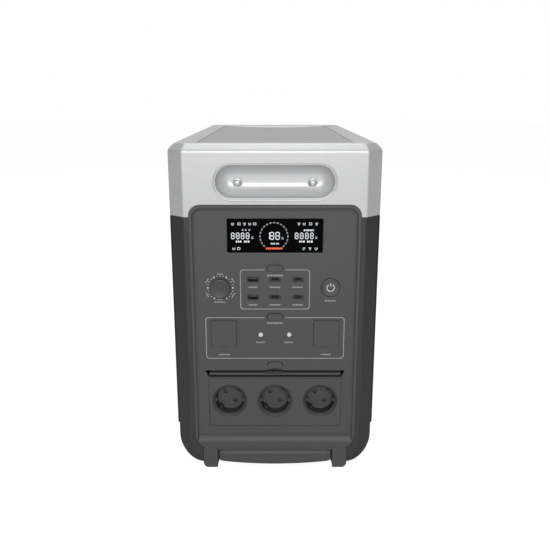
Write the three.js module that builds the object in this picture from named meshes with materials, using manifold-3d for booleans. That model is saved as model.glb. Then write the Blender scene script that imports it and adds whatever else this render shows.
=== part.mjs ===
// A wheeled camping power station, as an assembly of separate pieces.
// Millimetres, +Z up, the front face looks along -Y, +X is to the right as seen from the front.
// The origin is on the ground, under the middle of the casing.
import * as THREE from "three";
import { mergeVertices } from "three/addons/utils/BufferGeometryUtils.js";
import Module from "manifold-3d";

const wasm = await Module();
wasm.setup();

// Casing
const WIDTH = 280;
const DEPTH = 600;
const HEIGHT = 460;
const REACH = 304.5; // from the middle to the knob's face in front, and to the tyres behind
const CORNER = 20; // 45 degree chamfer down each upright corner
const WALL = 4;
const GAP = 0.3; // between pieces that touch
const PAST = 1; // how far a cutting tool runs past the face that it opens
const THROUGH = 9; // how deep a cutting tool reaches through a wall
const FIT = 0.6; // room round a tube in its hole
const UNDERSIDE = 6; // height of the casing's belly above the ground
const SEAM = 365; // where the silver upper shell meets the dark lower one
const SKIN = 2; // how far the side panels stand out from the lower shell
const BELT = 62; // lower edge of the side panels
const BELLY_RADIUS = 38;
const NOSE = 9; // small round along the lower front and rear edges
const BROW = 9; // round along the top edges

// Front face
const FRONT = -DEPTH / 2;
const PANEL = FRONT + 3.5; // face of the recessed control panel
const PANEL_BACK = PANEL + 3;
const FRAME = { half: 113, low: 27.7, high: 381.5, lowRadius: 25, highRadius: 15, depth: 6.5 };
const FIELD = { half: 109.4, low: 50, high: 376.5, lowRadius: 8, highRadius: 11 };
const SILL_TOE = 41; // the sill's slope ends here, flush with the frame's face

// Grips
const GRIP = { half: 78.5, radius: 22.5, height: 411.7, deep: 28, lip: 3.5, bead: 1.5, wall: 1.7 };
const SCREW = { x: 50, drop: 4.7, flange: 6.5, head: 4.5, shank: 2.5, proud: 4.2, flangeThick: 1.2, length: 9 };

// Controls
const DISPLAY = { half: 63, low: 317.5, high: 362.5, radius: 2 };
const KNOB = { x: -73.6, z: 268.8, radius: 13.5, shaft: 3 };
const POWER = { x: 74.8, z: 269.2, radius: 12.4 };
const OVAL = { half: 10.2, radius: 4.35 };
const OVAL_HEIGHTS = { usb_button: 295.9, ac_button: 227.6, outlet_button: 157.4 };
const BUTTON_PROUD = 1.5;
const BUTTON_TRAVEL = 1.5;
const LENS = { x: 19.5, z: 201.8, radius: 2.95 };

// Sockets behind the two square covers
const COVER = { x: 70, z: 203.7, half: 16.75, tall: 37, thick: 1.7 };
const EXPANSION = { half: 11.7, tall: 25.4, deep: 24, mouthHalf: 9.5, mouthTall: 21, radius: 2 };
const CONTACT = { z: 4, half: 6, thick: 2, from: 14 }; // two contact blades inside each expansion socket

// Earthed mains outlets
const OUTLET = { pitch: 63.7, z: 102.9, radius: 24, mouth: 23.2, bore: 19.8, deep: 17.5, floor: 3.4 };
const PIN = { offset: 9.5, radius: 2.8 };
const CLIP = { inner: 17.6, thick: 1, width: 5.5 };
const PLATE = { half: 92.6, low: 64.3, high: 136.6, radius: 5 };
const SLOT = { top: 149.3, bottom: 138.9, topHalf: 97, bottomHalf: 92.3, notch: 13, notchRise: 2.4 };
const DOOR = { half: 91.5, z: 143.9, thick: 3, deep: 81 };

// Ground contact and pull handle
const FOOT = { inner: 82.5, outer: 102.8, high: 31.5, deep: 37 };
const PULL = { half: 80, high: 27.3, end: 9, middle: 4, deep: 17, pocket: 38 };
const TUBE = { x: 60, z: 18, radius: 6, length: 390, guide: 7.6 };
const WHEEL = { radius: 48, rim: 34, inner: 104, outer: 134, y: REACH - 48 };
const WELL = { radius: 54, inner: 100 };
const AXLE_RADIUS = 4;

// Rear face
const REAR = { half: 100, low: 110, high: 340 };
const INLET = { x: -55, z: 150, half: 15.5, tall: 24, radius: 3, wall: 2.5, deep: 22, pinPitch: 6.5 };
const VENT = { rows: 9, pitch: 9.5, column: 22, half: 18, high: 1.8 };
const FAN = { x: 30, z: 245, half: 46, deep: 25, bore: 42, hub: 17, pin: 2, blades: 7 };

// Inside
const BATTERY = { half: 100, front: -150, rear: 130, low: 32, high: 212 };
const INVERTER = { half: 100, front: -150, rear: 90, low: 225, high: 285 };
const BOARD = { half: 50, low: 162, high: 312, thick: 1.6, behind: 14.5 };

const ROUND_SIDES = 24;
const SMALL_SIDES = 14;
const CURVE_STEPS = 5; // per quarter turn of a large round corner
const SMALL_STEPS = 2; // per quarter turn of a small one

const FINISH = {
  silver: { color: 0xc9cbcd, roughness: 0.42, metalness: 0.35 },
  lid: { color: 0xa4a6a8, roughness: 0.55, metalness: 0.2 },
  graphite: { color: 0x4b4d50, roughness: 0.6, metalness: 0.05 },
  charcoal: { color: 0x36383b, roughness: 0.65, metalness: 0.05 },
  black: { color: 0x141516, roughness: 0.5, metalness: 0 },
  glass: { color: 0x050608, roughness: 0.08, metalness: 0 },
  lens: { color: 0xf2f4f6, roughness: 0.2, metalness: 0 },
  rubber: { color: 0x222326, roughness: 0.85, metalness: 0 },
  steel: { color: 0xb8babd, roughness: 0.3, metalness: 0.9 },
  board: { color: 0x1d5a36, roughness: 0.6, metalness: 0.1 },
  pack: { color: 0x5a6f86, roughness: 0.5, metalness: 0.3 },
};

// ---------------------------------------------------------------- solids

function solidOf(geometry) {
  const bare = geometry.index ? geometry.toNonIndexed() : geometry.clone();
  bare.deleteAttribute("normal");
  bare.deleteAttribute("uv");
  const merged = mergeVertices(bare, 1e-4);
  return new wasm.Manifold(
    new wasm.Mesh({
      numProp: 3,
      vertProperties: merged.attributes.position.array,
      triVerts: new Uint32Array(merged.index.array),
    }),
  );
}

function joined(first, ...others) {
  return others.reduce((sum, other) => sum.add(other), first);
}

function cut(body, ...tools) {
  return tools.reduce((rest, tool) => rest.subtract(tool), body);
}

function common(first, ...others) {
  return others.reduce((shared, other) => shared.intersect(other), first);
}

function block(x0, x1, y0, y1, z0, z1) {
  const box = new THREE.BoxGeometry(x1 - x0, y1 - y0, z1 - z0);
  return solidOf(box.translate((x0 + x1) / 2, (y0 + y1) / 2, (z0 + z1) / 2));
}

// A shape drawn in X and Z, given thickness from yFront back to yBack.
function across(shape, yFront, yBack, steps = CURVE_STEPS) {
  const settings = { depth: yBack - yFront, bevelEnabled: false, curveSegments: steps };
  const slab = new THREE.ExtrudeGeometry(shape, settings);
  return solidOf(slab.rotateX(Math.PI / 2).translate(0, yBack, 0));
}

// A shape drawn in X and Y, given height from z0 to z1.
function upright(shape, z0, z1) {
  const settings = { depth: z1 - z0, bevelEnabled: false, curveSegments: CURVE_STEPS };
  return solidOf(new THREE.ExtrudeGeometry(shape, settings).translate(0, 0, z0));
}

// A shape drawn in Y and Z, given width from x0 to x1.
function sideways(shape, x0, x1) {
  const settings = { depth: x1 - x0, bevelEnabled: false, curveSegments: CURVE_STEPS };
  const slab = new THREE.ExtrudeGeometry(shape, settings);
  return solidOf(slab.rotateX(Math.PI / 2).rotateZ(Math.PI / 2).translate(x0, 0, 0));
}

// A round bar along Y.
function bar(x, z, radius, yFront, yBack, sides = SMALL_SIDES) {
  const rod = new THREE.CylinderGeometry(radius, radius, yBack - yFront, sides);
  return solidOf(rod.translate(x, (yFront + yBack) / 2, z));
}

// A round bar along X.
function crossbar(y, z, radius, x0, x1, sides = SMALL_SIDES) {
  const rod = new THREE.CylinderGeometry(radius, radius, x1 - x0, sides);
  return solidOf(rod.rotateZ(-Math.PI / 2).translate((x0 + x1) / 2, y, z));
}

// A profile of [radius, y] points turned about the Y axis; the inside lies on its left.
function turned(profile, sides = ROUND_SIDES) {
  const points = profile.map(([radius, y]) => new THREE.Vector2(radius, y));
  return solidOf(new THREE.LatheGeometry(points, sides));
}

// The same, turned about the X axis.
function turnedAlongX(profile, sides = ROUND_SIDES) {
  const points = profile.map(([radius, x]) => new THREE.Vector2(radius, x));
  return solidOf(new THREE.LatheGeometry(points, sides).rotateZ(-Math.PI / 2));
}

// ---------------------------------------------------------------- outlines

function polygon(points) {
  return new THREE.Shape(points.map(([x, y]) => new THREE.Vector2(x, y)));
}

// A rectangle whose lower and upper corners may be round, with different radii.
function outline(x0, x1, z0, z1, lowRadius, highRadius) {
  const shape = new THREE.Shape();
  const turn = Math.PI / 2;
  const low = lowRadius;
  const high = highRadius;
  shape.moveTo(x0 + low, z0);
  shape.lineTo(x1 - low, z0);
  if (low) shape.absarc(x1 - low, z0 + low, low, -turn, 0);
  shape.lineTo(x1, z1 - high);
  if (high) shape.absarc(x1 - high, z1 - high, high, 0, turn);
  shape.lineTo(x0 + high, z1);
  if (high) shape.absarc(x0 + high, z1 - high, high, turn, 2 * turn);
  shape.lineTo(x0, z0 + low);
  if (low) shape.absarc(x0 + low, z0 + low, low, 2 * turn, 3 * turn);
  return shape;
}

function stadium(x, z, half, radius) {
  return outline(x - half, x + half, z - radius, z + radius, radius, radius);
}

function chamfered(halfX, halfY, corner) {
  return polygon([
    [-halfX + corner, -halfY],
    [halfX - corner, -halfY],
    [halfX, -halfY + corner],
    [halfX, halfY - corner],
    [halfX - corner, halfY],
    [-halfX + corner, halfY],
    [-halfX, halfY - corner],
    [-halfX, -halfY + corner],
  ]);
}

// ---------------------------------------------------------------- the assembly

const station = new THREE.Group();

function piece(name, solid, finish, at = [0, 0, 0], turn = 0) {
  const data = solid.getMesh();
  const geometry = new THREE.BufferGeometry();
  geometry.setAttribute("position", new THREE.BufferAttribute(data.vertProperties, 3));
  geometry.setIndex(new THREE.BufferAttribute(data.triVerts, 1));
  geometry.computeVertexNormals();
  const mesh = new THREE.Mesh(geometry, new THREE.MeshStandardMaterial(FINISH[finish]));
  mesh.name = name;
  mesh.position.set(...at);
  mesh.rotation.z = turn;
  station.add(mesh);
}

const SIDES = [
  ["left", -1],
  ["right", 1],
];

function between(side, a, b) {
  return side < 0 ? [-b, -a] : [a, b];
}

// A block of the casing's plan: chamfered upright corners, round belly and brow edges.
function casing(half, depth, corner, z0, z1, belly, nose, brow) {
  return common(
    upright(chamfered(half, depth, corner), z0, z1),
    across(outline(-half, half, z0, z1, belly, brow), -depth, depth),
    sideways(outline(-depth, depth, z0, z1, nose, brow), -half, half),
  );
}

function innerCorner(corner, wall) {
  return corner - wall * (2 - Math.SQRT2);
}

// The room that a rear wheel turns in, open to the side, the rear and the ground.
function wheelWell(side, clearance) {
  const [x0, x1] = between(side, WELL.inner - clearance, WIDTH / 2 + PAST);
  const reach = WELL.radius + clearance;
  return joined(
    crossbar(WHEEL.y, WHEEL.radius, reach, x0, x1, ROUND_SIDES),
    block(x0, x1, WHEEL.y - reach, DEPTH / 2 + PAST, 0, WHEEL.radius),
  );
}

// The room under the front sill that holds the feet and the pull grip, open in front and below.
function basePocket(clearance) {
  const back = FRONT + PULL.pocket + clearance;
  const grip = PULL.half + 1 + clearance;
  const bar = block(-grip, grip, FRONT - PAST, back, 0, PULL.high + 0.7 + clearance);
  const feet = SIDES.map(([, side]) => {
    const [x0, x1] = between(side, FOOT.inner - GAP - clearance, FOOT.outer + GAP + clearance);
    return block(x0, x1, FRONT - PAST, back, 0, FOOT.high + GAP + clearance);
  });
  return joined(bar, ...feet);
}

function lowerShell() {
  const half = WIDTH / 2 - SKIN;
  const corner = CORNER - SKIN;
  const outer = casing(half, DEPTH / 2, corner, UNDERSIDE, SEAM, BELLY_RADIUS, NOSE, 0);
  const room = casing(
    half - WALL,
    DEPTH / 2 - WALL,
    innerCorner(corner, WALL),
    UNDERSIDE + WALL,
    SEAM + PAST,
    BELLY_RADIUS - WALL,
    NOSE,
    0,
  );
  const ledge = block(-FIELD.half, FIELD.half, FRONT, FRONT + PULL.pocket + WALL, 0, FIELD.low - WALL);
  const hollow = cut(room, basePocket(WALL), ledge, wheelWell(-1, WALL), wheelWell(1, WALL));
  const low = FRAME.low - GAP;
  const seat = outline(-FRAME.half - GAP, FRAME.half + GAP, low, SEAM + 30, FRAME.lowRadius, 0);
  const y0 = DEPTH / 2 - THROUGH;
  const rearDoorway = block(-REAR.half, REAR.half, y0, DEPTH / 2 + PAST, REAR.low, REAR.high);
  const tubeHoles = SIDES.map(([, side]) =>
    bar(side * TUBE.x, TUBE.z, TUBE.radius + FIT, FRONT, FRONT + PULL.pocket + THROUGH),
  );
  const axleHole = crossbar(WHEEL.y, WHEEL.radius, AXLE_RADIUS + 0.5, -WIDTH / 2, WIDTH / 2);
  const shell = cut(
    outer,
    hollow,
    across(seat, FRONT - PAST, FRONT + FRAME.depth + GAP),
    basePocket(0),
    wheelWell(-1, 0),
    wheelWell(1, 0),
    rearDoorway,
    ...tubeHoles,
    axleHole,
  );
  piece("lower_shell", shell, "charcoal");
}

function sidePanels() {
  const inside = WIDTH / 2 - SKIN + GAP;
  const outside = WIDTH / 2;
  const end = DEPTH / 2 - CORNER;
  const slope = outside - inside;
  for (const [name, side] of SIDES) {
    const plan = [
      [inside, -end - slope],
      [outside, -end],
      [outside, end],
      [inside, end + slope],
    ].map(([x, y]) => [side * x, y]);
    if (side < 0) plan.reverse();
    const panel = cut(upright(polygon(plan), BELT, SEAM - GAP), wheelWell(side, 0));
    piece("side_panel_" + name, panel, "charcoal");
  }
}

const LID = { half: 102, front: -281, rear: 250, floor: 454, edge: 459.6, middle: 456 };

function upperShell() {
  const half = WIDTH / 2;
  const outer = casing(half, DEPTH / 2, CORNER, SEAM + GAP, HEIGHT, 0, 0, BROW);
  const wall = GRIP.lip;
  const plan = chamfered(half - wall, DEPTH / 2 - wall, innerCorner(CORNER, wall));
  const room = upright(plan, SEAM - PAST, LID.floor - 2);
  const lidHalf = LID.half + GAP;
  const lidPocket = block(-lidHalf, lidHalf, LID.front - GAP, LID.rear + GAP, LID.floor, HEIGHT + PAST);
  const hole = stadium(0, GRIP.height, GRIP.half + GRIP.wall + GAP, GRIP.radius + GRIP.wall + GAP);
  const grips = [
    across(hole, FRONT - PAST, FRONT + THROUGH),
    across(hole, DEPTH / 2 - THROUGH, DEPTH / 2 + PAST),
  ];
  const high = FRAME.high + GAP;
  const arch = outline(-FRAME.half - GAP, FRAME.half + GAP, SEAM - PAST, high, 0, FRAME.highRadius);
  const shell = cut(outer, room, lidPocket, ...grips, across(arch, FRONT - PAST, FRONT + FRAME.depth + GAP));
  piece("upper_shell", shell, "silver");
}

// A plate whose top sags across the width like a shallow tray.
function topLid() {
  const section = new THREE.Shape();
  section.moveTo(-LID.half, LID.floor + GAP);
  section.lineTo(LID.half, LID.floor + GAP);
  section.lineTo(LID.half, LID.edge);
  section.quadraticCurveTo(0, 2 * LID.middle - LID.edge, -LID.half, LID.edge);
  piece("top_lid", across(section, LID.front, LID.rear), "lid");
}

// A capsule-shaped cup with a raised bead round its mouth, open towards -Y at y = 0.
function gripCup() {
  const { half, radius, deep, bead, wall } = GRIP;
  const rim = stadium(0, 0, half + 2 * wall, radius + 2 * wall);
  const shell = across(stadium(0, 0, half + wall, radius + wall), -bead, deep + wall + 1);
  const room = across(stadium(0, 0, half, radius), -bead - PAST, deep);
  const holes = SIDES.map(([, side]) =>
    bar(side * SCREW.x, -SCREW.drop, SCREW.shank + GAP, deep - PAST, deep + THROUGH),
  );
  return cut(joined(shell, across(rim, -bead, -GAP)), room, ...holes);
}

function gripScrew() {
  const { flange, head, shank, proud, flangeThick, length } = SCREW;
  const ease = 0.8;
  return turned(
    [
      [0, -proud],
      [head - ease, -proud],
      [head, ease - proud],
      [head, -flangeThick - GAP],
      [flange, -flangeThick],
      [flange, -GAP],
      [shank, -GAP],
      [shank, length],
      [0, length],
    ],
    SMALL_SIDES,
  );
}

function grips() {
  for (const [end, direction] of [
    ["front", 1],
    ["rear", -1],
  ]) {
    const turn = direction > 0 ? 0 : Math.PI;
    piece(end + "_grip_cup", gripCup(), "silver", [0, direction * FRONT, GRIP.height], turn);
    for (const [name, side] of SIDES) {
      const y = direction * (FRONT + GRIP.deep);
      const at = [side * SCREW.x, y, GRIP.height - SCREW.drop];
      piece("grip_screw_" + end + "_" + name, gripScrew(), "steel", at, turn);
    }
  }
}

// The frame round the control panel, whose lower member is a sloping sill.
function frontFrame() {
  const { half, low, high, lowRadius, highRadius, depth } = FRAME;
  const ring = across(outline(-half, half, low, high, lowRadius, highRadius), FRONT, FRONT + depth);
  const field = outline(-FIELD.half, FIELD.half, FIELD.low, FIELD.high, FIELD.lowRadius, FIELD.highRadius);
  const slope = polygon([
    [FRONT - PAST, SILL_TOE],
    [FRONT, SILL_TOE],
    [PANEL, FIELD.low + 1],
    [FRONT - PAST, FIELD.low + 1],
  ]);
  const sill = sideways(slope, -FIELD.half, FIELD.half);
  const opening = across(field, FRONT - PAST, FRONT + THROUGH);
  piece("front_frame", cut(ring, opening, sill, basePocket(0)), "graphite");
}

// The slot that the outlet door is stored in, with a finger notch in its upper edge.
function doorSlot() {
  const { top, bottom, topHalf, bottomHalf, notch, notchRise } = SLOT;
  const shape = new THREE.Shape();
  shape.moveTo(-bottomHalf, bottom);
  shape.lineTo(bottomHalf, bottom);
  shape.lineTo(topHalf, top);
  shape.lineTo(notch, top);
  shape.quadraticCurveTo(0, top + 2 * notchRise, -notch, top);
  shape.lineTo(-topHalf, top);
  return shape;
}

const USB_PORTS = {
  usb_a_port_upper: { kind: "a", x: -29.6, z: 280.2 },
  usb_a_port_lower: { kind: "a", x: -29.6, z: 255.4 },
  usb_c_port_inner_upper: { kind: "c", x: 0, z: 280.5 },
  usb_c_port_inner_lower: { kind: "c", x: 0, z: 255.8 },
  usb_c_port_outer_upper: { kind: "c", x: 30.9, z: 280.5 },
  usb_c_port_outer_lower: { kind: "c", x: 30.9, z: 255.8 },
};
// Half sizes of each kind of port: its body, its mouth and the contact tongue inside.
const USB_DEEP = 13;
const USB_BODY = {
  a: { half: 7.2, high: 3.5, radius: 0.8, mouthHalf: 6.3, mouthHigh: 2.6, tongueHalf: 5.4, tongue: [0.1, 2] },
  c: { half: 7.4, high: 2.9, radius: 2.8, mouthHalf: 4.5, mouthHigh: 1.6, tongueHalf: 3.3, tongue: [-0.4, 0.4] },
};
const USB_C_HOOD = { half: 6.4, high: 2.2, radius: 2.1, deep: 1.5 };

function roundedPlate(x, z, halfX, halfZ, radius, yFront, yBack) {
  const shape = outline(x - halfX, x + halfX, z - halfZ, z + halfZ, radius, radius);
  return across(shape, yFront, yBack, SMALL_STEPS);
}

function frontPanel() {
  const { half, low, high, lowRadius, highRadius } = FIELD;
  const plate = outline(-half + GAP, half - GAP, low + GAP, high - GAP, lowRadius, highRadius);
  const y0 = PANEL - PAST;
  const y1 = PANEL_BACK + PAST;
  const screen = outline(-DISPLAY.half - GAP, DISPLAY.half + GAP, DISPLAY.low - GAP, DISPLAY.high + GAP, 2, 2);
  const plateHalf = PLATE.half + GAP;
  const window = outline(-plateHalf, plateHalf, PLATE.low - GAP, PLATE.high + GAP, PLATE.radius, 0);
  const holes = [
    across(screen, y0, y1, SMALL_STEPS),
    across(window, y0, y1, SMALL_STEPS),
    across(doorSlot(), y0, y1),
    bar(KNOB.x, KNOB.z, KNOB.shaft + 0.5, y0, y1),
    bar(POWER.x, POWER.z, POWER.radius + GAP, y0, y1, ROUND_SIDES),
  ];
  for (const z of Object.values(OVAL_HEIGHTS)) {
    holes.push(across(stadium(0, z, OVAL.half + GAP, OVAL.radius + GAP), y0, y1, 3));
  }
  for (const { kind, x, z } of Object.values(USB_PORTS)) {
    const body = USB_BODY[kind];
    holes.push(roundedPlate(x, z, body.half + GAP, body.high + GAP, body.radius, y0, y1));
  }
  for (const [, side] of SIDES) {
    const halfTall = EXPANSION.tall / 2 + GAP;
    holes.push(roundedPlate(side * COVER.x, COVER.z, EXPANSION.half + GAP, halfTall, 2, y0, y1));
    holes.push(bar(side * LENS.x, LENS.z, LENS.radius + GAP, y0, y1));
  }
  piece("front_panel", cut(across(plate, PANEL, PANEL_BACK), ...holes), "graphite");
}

function display() {
  const { half, low, high, radius } = DISPLAY;
  const shape = outline(-half, half, low, high, radius, radius);
  const pane = across(shape, PANEL + 0.7, PANEL_BACK + 1.2, SMALL_STEPS);
  const flange = block(-half - 3, half + 3, PANEL_BACK + GAP, PANEL_BACK + 1.2, low - 3, high + 3);
  piece("display_window", joined(pane, flange), "glass");
  const y = PANEL_BACK + 1.2 + GAP;
  piece("display_module", block(-half, half, y, y + 6, low, high), "black");
}

function regulatorKnob() {
  const { x, z, radius, shaft } = KNOB;
  const face = -REACH;
  const knob = turned([
    [0, face],
    [radius - 1.2, face],
    [radius - 0.4, face + 0.8],
    [radius, PANEL - GAP],
    [shaft, PANEL - GAP],
    [shaft, PANEL_BACK + 5],
    [0, PANEL_BACK + 5],
  ]);
  const mark = block(-0.6, 0.6, face - 1, face + 0.5, 5, radius - 2);
  piece("regulator_knob", cut(knob, mark), "charcoal", [x, 0, z]);
}

function pushButtons() {
  for (const [name, z] of Object.entries(OVAL_HEIGHTS)) {
    const cap = across(stadium(0, 0, OVAL.half, OVAL.radius), PANEL - BUTTON_PROUD, PANEL_BACK + 2, 3);
    piece(name, cap, "graphite", [0, 0, z]);
  }
  const r = POWER.radius;
  const front = PANEL - BUTTON_PROUD;
  const cap = turned([
    [0, front + 0.4],
    [r - 3, front],
    [r - 0.6, front],
    [r, front + 0.6],
    [r, PANEL_BACK + 2],
    [0, PANEL_BACK + 2],
  ]);
  piece("power_button", cap, "graphite", [POWER.x, 0, POWER.z]);
}

// Each port is a socket body with its own contact tongue, set in the panel.
function usbPorts() {
  const front = PANEL + 0.2;
  for (const [name, { kind, x, z }] of Object.entries(USB_PORTS)) {
    const { half, high, radius, mouthHalf, mouthHigh, tongueHalf, tongue } = USB_BODY[kind];
    const body = roundedPlate(0, 0, half, high, radius, front, front + USB_DEEP);
    const floor = front + USB_DEEP - 2;
    const blade = block(-tongueHalf, tongueHalf, front + 2, floor + PAST, ...tongue);
    const cuts = [];
    if (kind === "a") {
      cuts.push(block(-mouthHalf, mouthHalf, front - PAST, floor, -mouthHigh, mouthHigh));
    } else {
      const hood = USB_C_HOOD;
      cuts.push(roundedPlate(0, 0, hood.half, hood.high, hood.radius, front - PAST, front + hood.deep));
      cuts.push(roundedPlate(0, 0, mouthHalf, mouthHigh, mouthHigh - 0.1, front - PAST, floor));
    }
    piece(name, joined(cut(body, ...cuts), blade), "black", [x, 0, z]);
  }
}

function expansionSockets() {
  const { half, tall, deep, mouthHalf, mouthTall, radius } = EXPANSION;
  const front = PANEL + 0.2;
  for (const [name, side] of SIDES) {
    const floor = front + deep - WALL;
    const body = roundedPlate(0, 0, half, tall / 2, radius, front, front + deep);
    const mouth = roundedPlate(0, 0, mouthHalf, mouthTall / 2, radius, front - PAST, floor);
    const contacts = [-CONTACT.z, CONTACT.z].map((z) => {
      const thick = CONTACT.thick / 2;
      return block(-CONTACT.half, CONTACT.half, front + CONTACT.from, floor + PAST, z - thick, z + thick);
    });
    piece("expansion_socket_" + name, joined(cut(body, mouth), ...contacts), "black", [
      side * COVER.x,
      0,
      COVER.z,
    ]);
    const y = PANEL - GAP;
    const lid = roundedPlate(0, 0, COVER.half, COVER.tall / 2, 1.2, y - COVER.thick, y);
    const foot = -COVER.tall / 2;
    const nick = block(-3, 3, y - COVER.thick - PAST, y - 1, foot - PAST, foot + 1.2);
    piece("port_cover_" + name, cut(lid, nick), "graphite", [side * COVER.x, 0, COVER.z]);
  }
}

function indicatorLenses() {
  for (const [name, side] of SIDES) {
    const r = LENS.radius;
    const pipe = turned(
      [
        [0, PANEL - 0.9],
        [r - 1, PANEL - 0.7],
        [r, PANEL - 0.1],
        [r, PANEL_BACK + 5],
        [0, PANEL_BACK + 5],
      ],
      SMALL_SIDES,
    );
    piece("indicator_lens_" + name, pipe, "lens", [side * LENS.x, 0, LENS.z]);
  }
}

// A recessed round socket: its two pin holes lie on one diagonal, its earth clips on the other.
function outletCup() {
  const { radius, mouth, bore, deep, floor } = OUTLET;
  const front = PANEL + 0.1;
  const cup = turned([
    [0, front + deep],
    [bore, front + deep],
    [bore + 0.3, front + 3.4],
    [mouth, front],
    [radius, front],
    [radius, front + deep + floor],
    [0, front + deep + floor],
  ]);
  const diagonal = PIN.offset * Math.SQRT1_2;
  const y0 = front + deep - 1;
  const y1 = front + deep + floor + 1;
  const pins = [1, -1].map((s) => bar(-s * diagonal, s * diagonal, PIN.radius, y0, y1));
  const room = CLIP.width / 2 + 0.5;
  const slots = [1, -1].map((s) => {
    const slot = new THREE.BoxGeometry(CLIP.thick + 1, y1 - y0, 2 * room);
    slot.translate(s * (CLIP.inner + CLIP.thick / 2), (y0 + y1) / 2, 0);
    return solidOf(slot.rotateY(-Math.PI / 4));
  });
  return cut(cup, ...pins, ...slots);
}

// One bent strap: its two arms stand in the socket, and its bridge crosses behind the floor.
function earthClip() {
  const { inner, thick, width } = CLIP;
  const front = PANEL + 0.1;
  const back = front + OUTLET.deep + OUTLET.floor + GAP + thick;
  const reach = inner + thick;
  const strap = joined(
    block(-reach, reach, back - thick, back, -width / 2, width / 2),
    block(-reach, -inner, front + 6, back, -width / 2, width / 2),
    block(inner, reach, front + 6, back, -width / 2, width / 2),
  );
  return strap.rotate([0, -45, 0]);
}

function outlets() {
  const { half, low, high, radius } = PLATE;
  const names = ["left", "middle", "right"];
  const centres = names.map((_, i) => (i - 1) * OUTLET.pitch);
  const plate = across(outline(-half, half, low, high, radius, 0), PANEL, PANEL_BACK);
  const holes = centres.map((x) =>
    bar(x, OUTLET.z, OUTLET.radius + GAP, PANEL - PAST, PANEL_BACK + PAST, ROUND_SIDES),
  );
  piece("outlet_plate", cut(plate, ...holes), "graphite");
  names.forEach((name, i) => {
    piece("outlet_" + name, outletCup(), "charcoal", [centres[i], 0, OUTLET.z]);
    piece("earth_clip_" + name, earthClip(), "steel", [centres[i], 0, OUTLET.z]);
  });
}

// The door over the outlets is stored flat in a sleeve behind the slot, and pulls out forwards.
function outletDoor() {
  const { half, z, thick, deep } = DOOR;
  const front = PANEL + 0.3;
  piece("outlet_door", block(-half, half, front, front + deep, z - thick / 2, z + thick / 2), "graphite");
  const y = PANEL_BACK + GAP;
  const sleeve = block(-half - 7, half + 7, y, y + deep + 12, SLOT.bottom - 1, SLOT.top + 0.8);
  const room = block(-half - 4, half + 4, y - 1, y + deep + 9, SLOT.bottom + 1, SLOT.top - 1.2);
  piece("door_guide", cut(sleeve, room), "black");
}

function frontFeet() {
  const { inner, outer, high, deep } = FOOT;
  const corner = 6;
  for (const [name, side] of SIDES) {
    const points = [
      [inner, 0],
      [outer - corner, 0],
      [outer, corner],
      [outer, high],
      [inner, high],
    ].map(([x, z]) => [side * x, z]);
    if (side < 0) points.reverse();
    piece("front_foot_" + name, across(polygon(points), FRONT + GAP, FRONT + deep), "charcoal");
  }
}

// A cross bar between the feet, on two tubes that slide out of the base.
function pullHandle() {
  const { half, high, end, middle, deep } = PULL;
  const front = FRONT + GAP;
  const shape = new THREE.Shape();
  shape.moveTo(-half, end);
  shape.quadraticCurveTo(0, 2 * middle - end, half, end);
  shape.lineTo(half, high);
  shape.lineTo(-half, high);
  const sockets = SIDES.map(([, side]) =>
    bar(side * TUBE.x, TUBE.z, TUBE.radius + GAP, front + deep - 7, front + deep + 1),
  );
  piece("pull_grip", cut(across(shape, front, front + deep), ...sockets), "charcoal");
  const tubeFront = front + deep - 7 + GAP;
  const guideFront = FRONT + PULL.pocket + WALL + GAP;
  const guideLength = 400;
  for (const [name, side] of SIDES) {
    const tube = bar(0, 0, TUBE.radius, tubeFront, tubeFront + TUBE.length);
    piece("handle_tube_" + name, tube, "steel", [side * TUBE.x, 0, TUBE.z]);
    const sleeve = cut(
      bar(0, 0, TUBE.guide, guideFront, guideFront + guideLength),
      bar(0, 0, TUBE.radius + FIT, guideFront - PAST, guideFront + guideLength + PAST),
    );
    piece("guide_tube_" + name, sleeve, "steel", [side * TUBE.x, 0, TUBE.z]);
  }
}

function wheels() {
  const { radius, rim, inner, outer, y } = WHEEL;
  const middle = (inner + outer) / 2;
  const half = (outer - inner) / 2;
  const bore = AXLE_RADIUS + 0.4;
  const tyre = [
    [rim + GAP, -half + 1],
    [radius - 6, -half],
    [radius - 1.5, -half + 5],
    [radius, -half + 9],
    [radius, half - 9],
    [radius - 1.5, half - 5],
    [radius - 6, half],
    [rim + GAP, half - 1],
    [rim + GAP, -half + 1],
  ];
  const hub = [
    [bore, -half],
    [12, -half],
    [14, -half + 7],
    [rim - 5, -half + 7],
    [rim - 3, -half + 1],
    [rim, -half + 1],
    [rim, half - 1],
    [rim - 3, half - 1],
    [rim - 5, half - 7],
    [14, half - 7],
    [12, half - 1],
    [bore, half - 1],
    [bore, -half],
  ];
  for (const [name, side] of SIDES) {
    const at = [side * middle, y, radius];
    piece("tyre_" + name, turnedAlongX(tyre), "rubber", at, side < 0 ? Math.PI : 0);
    piece("wheel_hub_" + name, turnedAlongX(hub), "charcoal", at, side < 0 ? Math.PI : 0);
  }
  const head = 7;
  const axle = turnedAlongX([
    [0, -outer - 3],
    [head, -outer - 3],
    [head, -outer - GAP],
    [AXLE_RADIUS, -outer - GAP],
    [AXLE_RADIUS, outer + GAP],
    [head, outer + GAP],
    [head, outer + 3],
    [0, outer + 3],
  ]);
  piece("axle", axle, "steel", [0, y, radius]);
}

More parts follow.
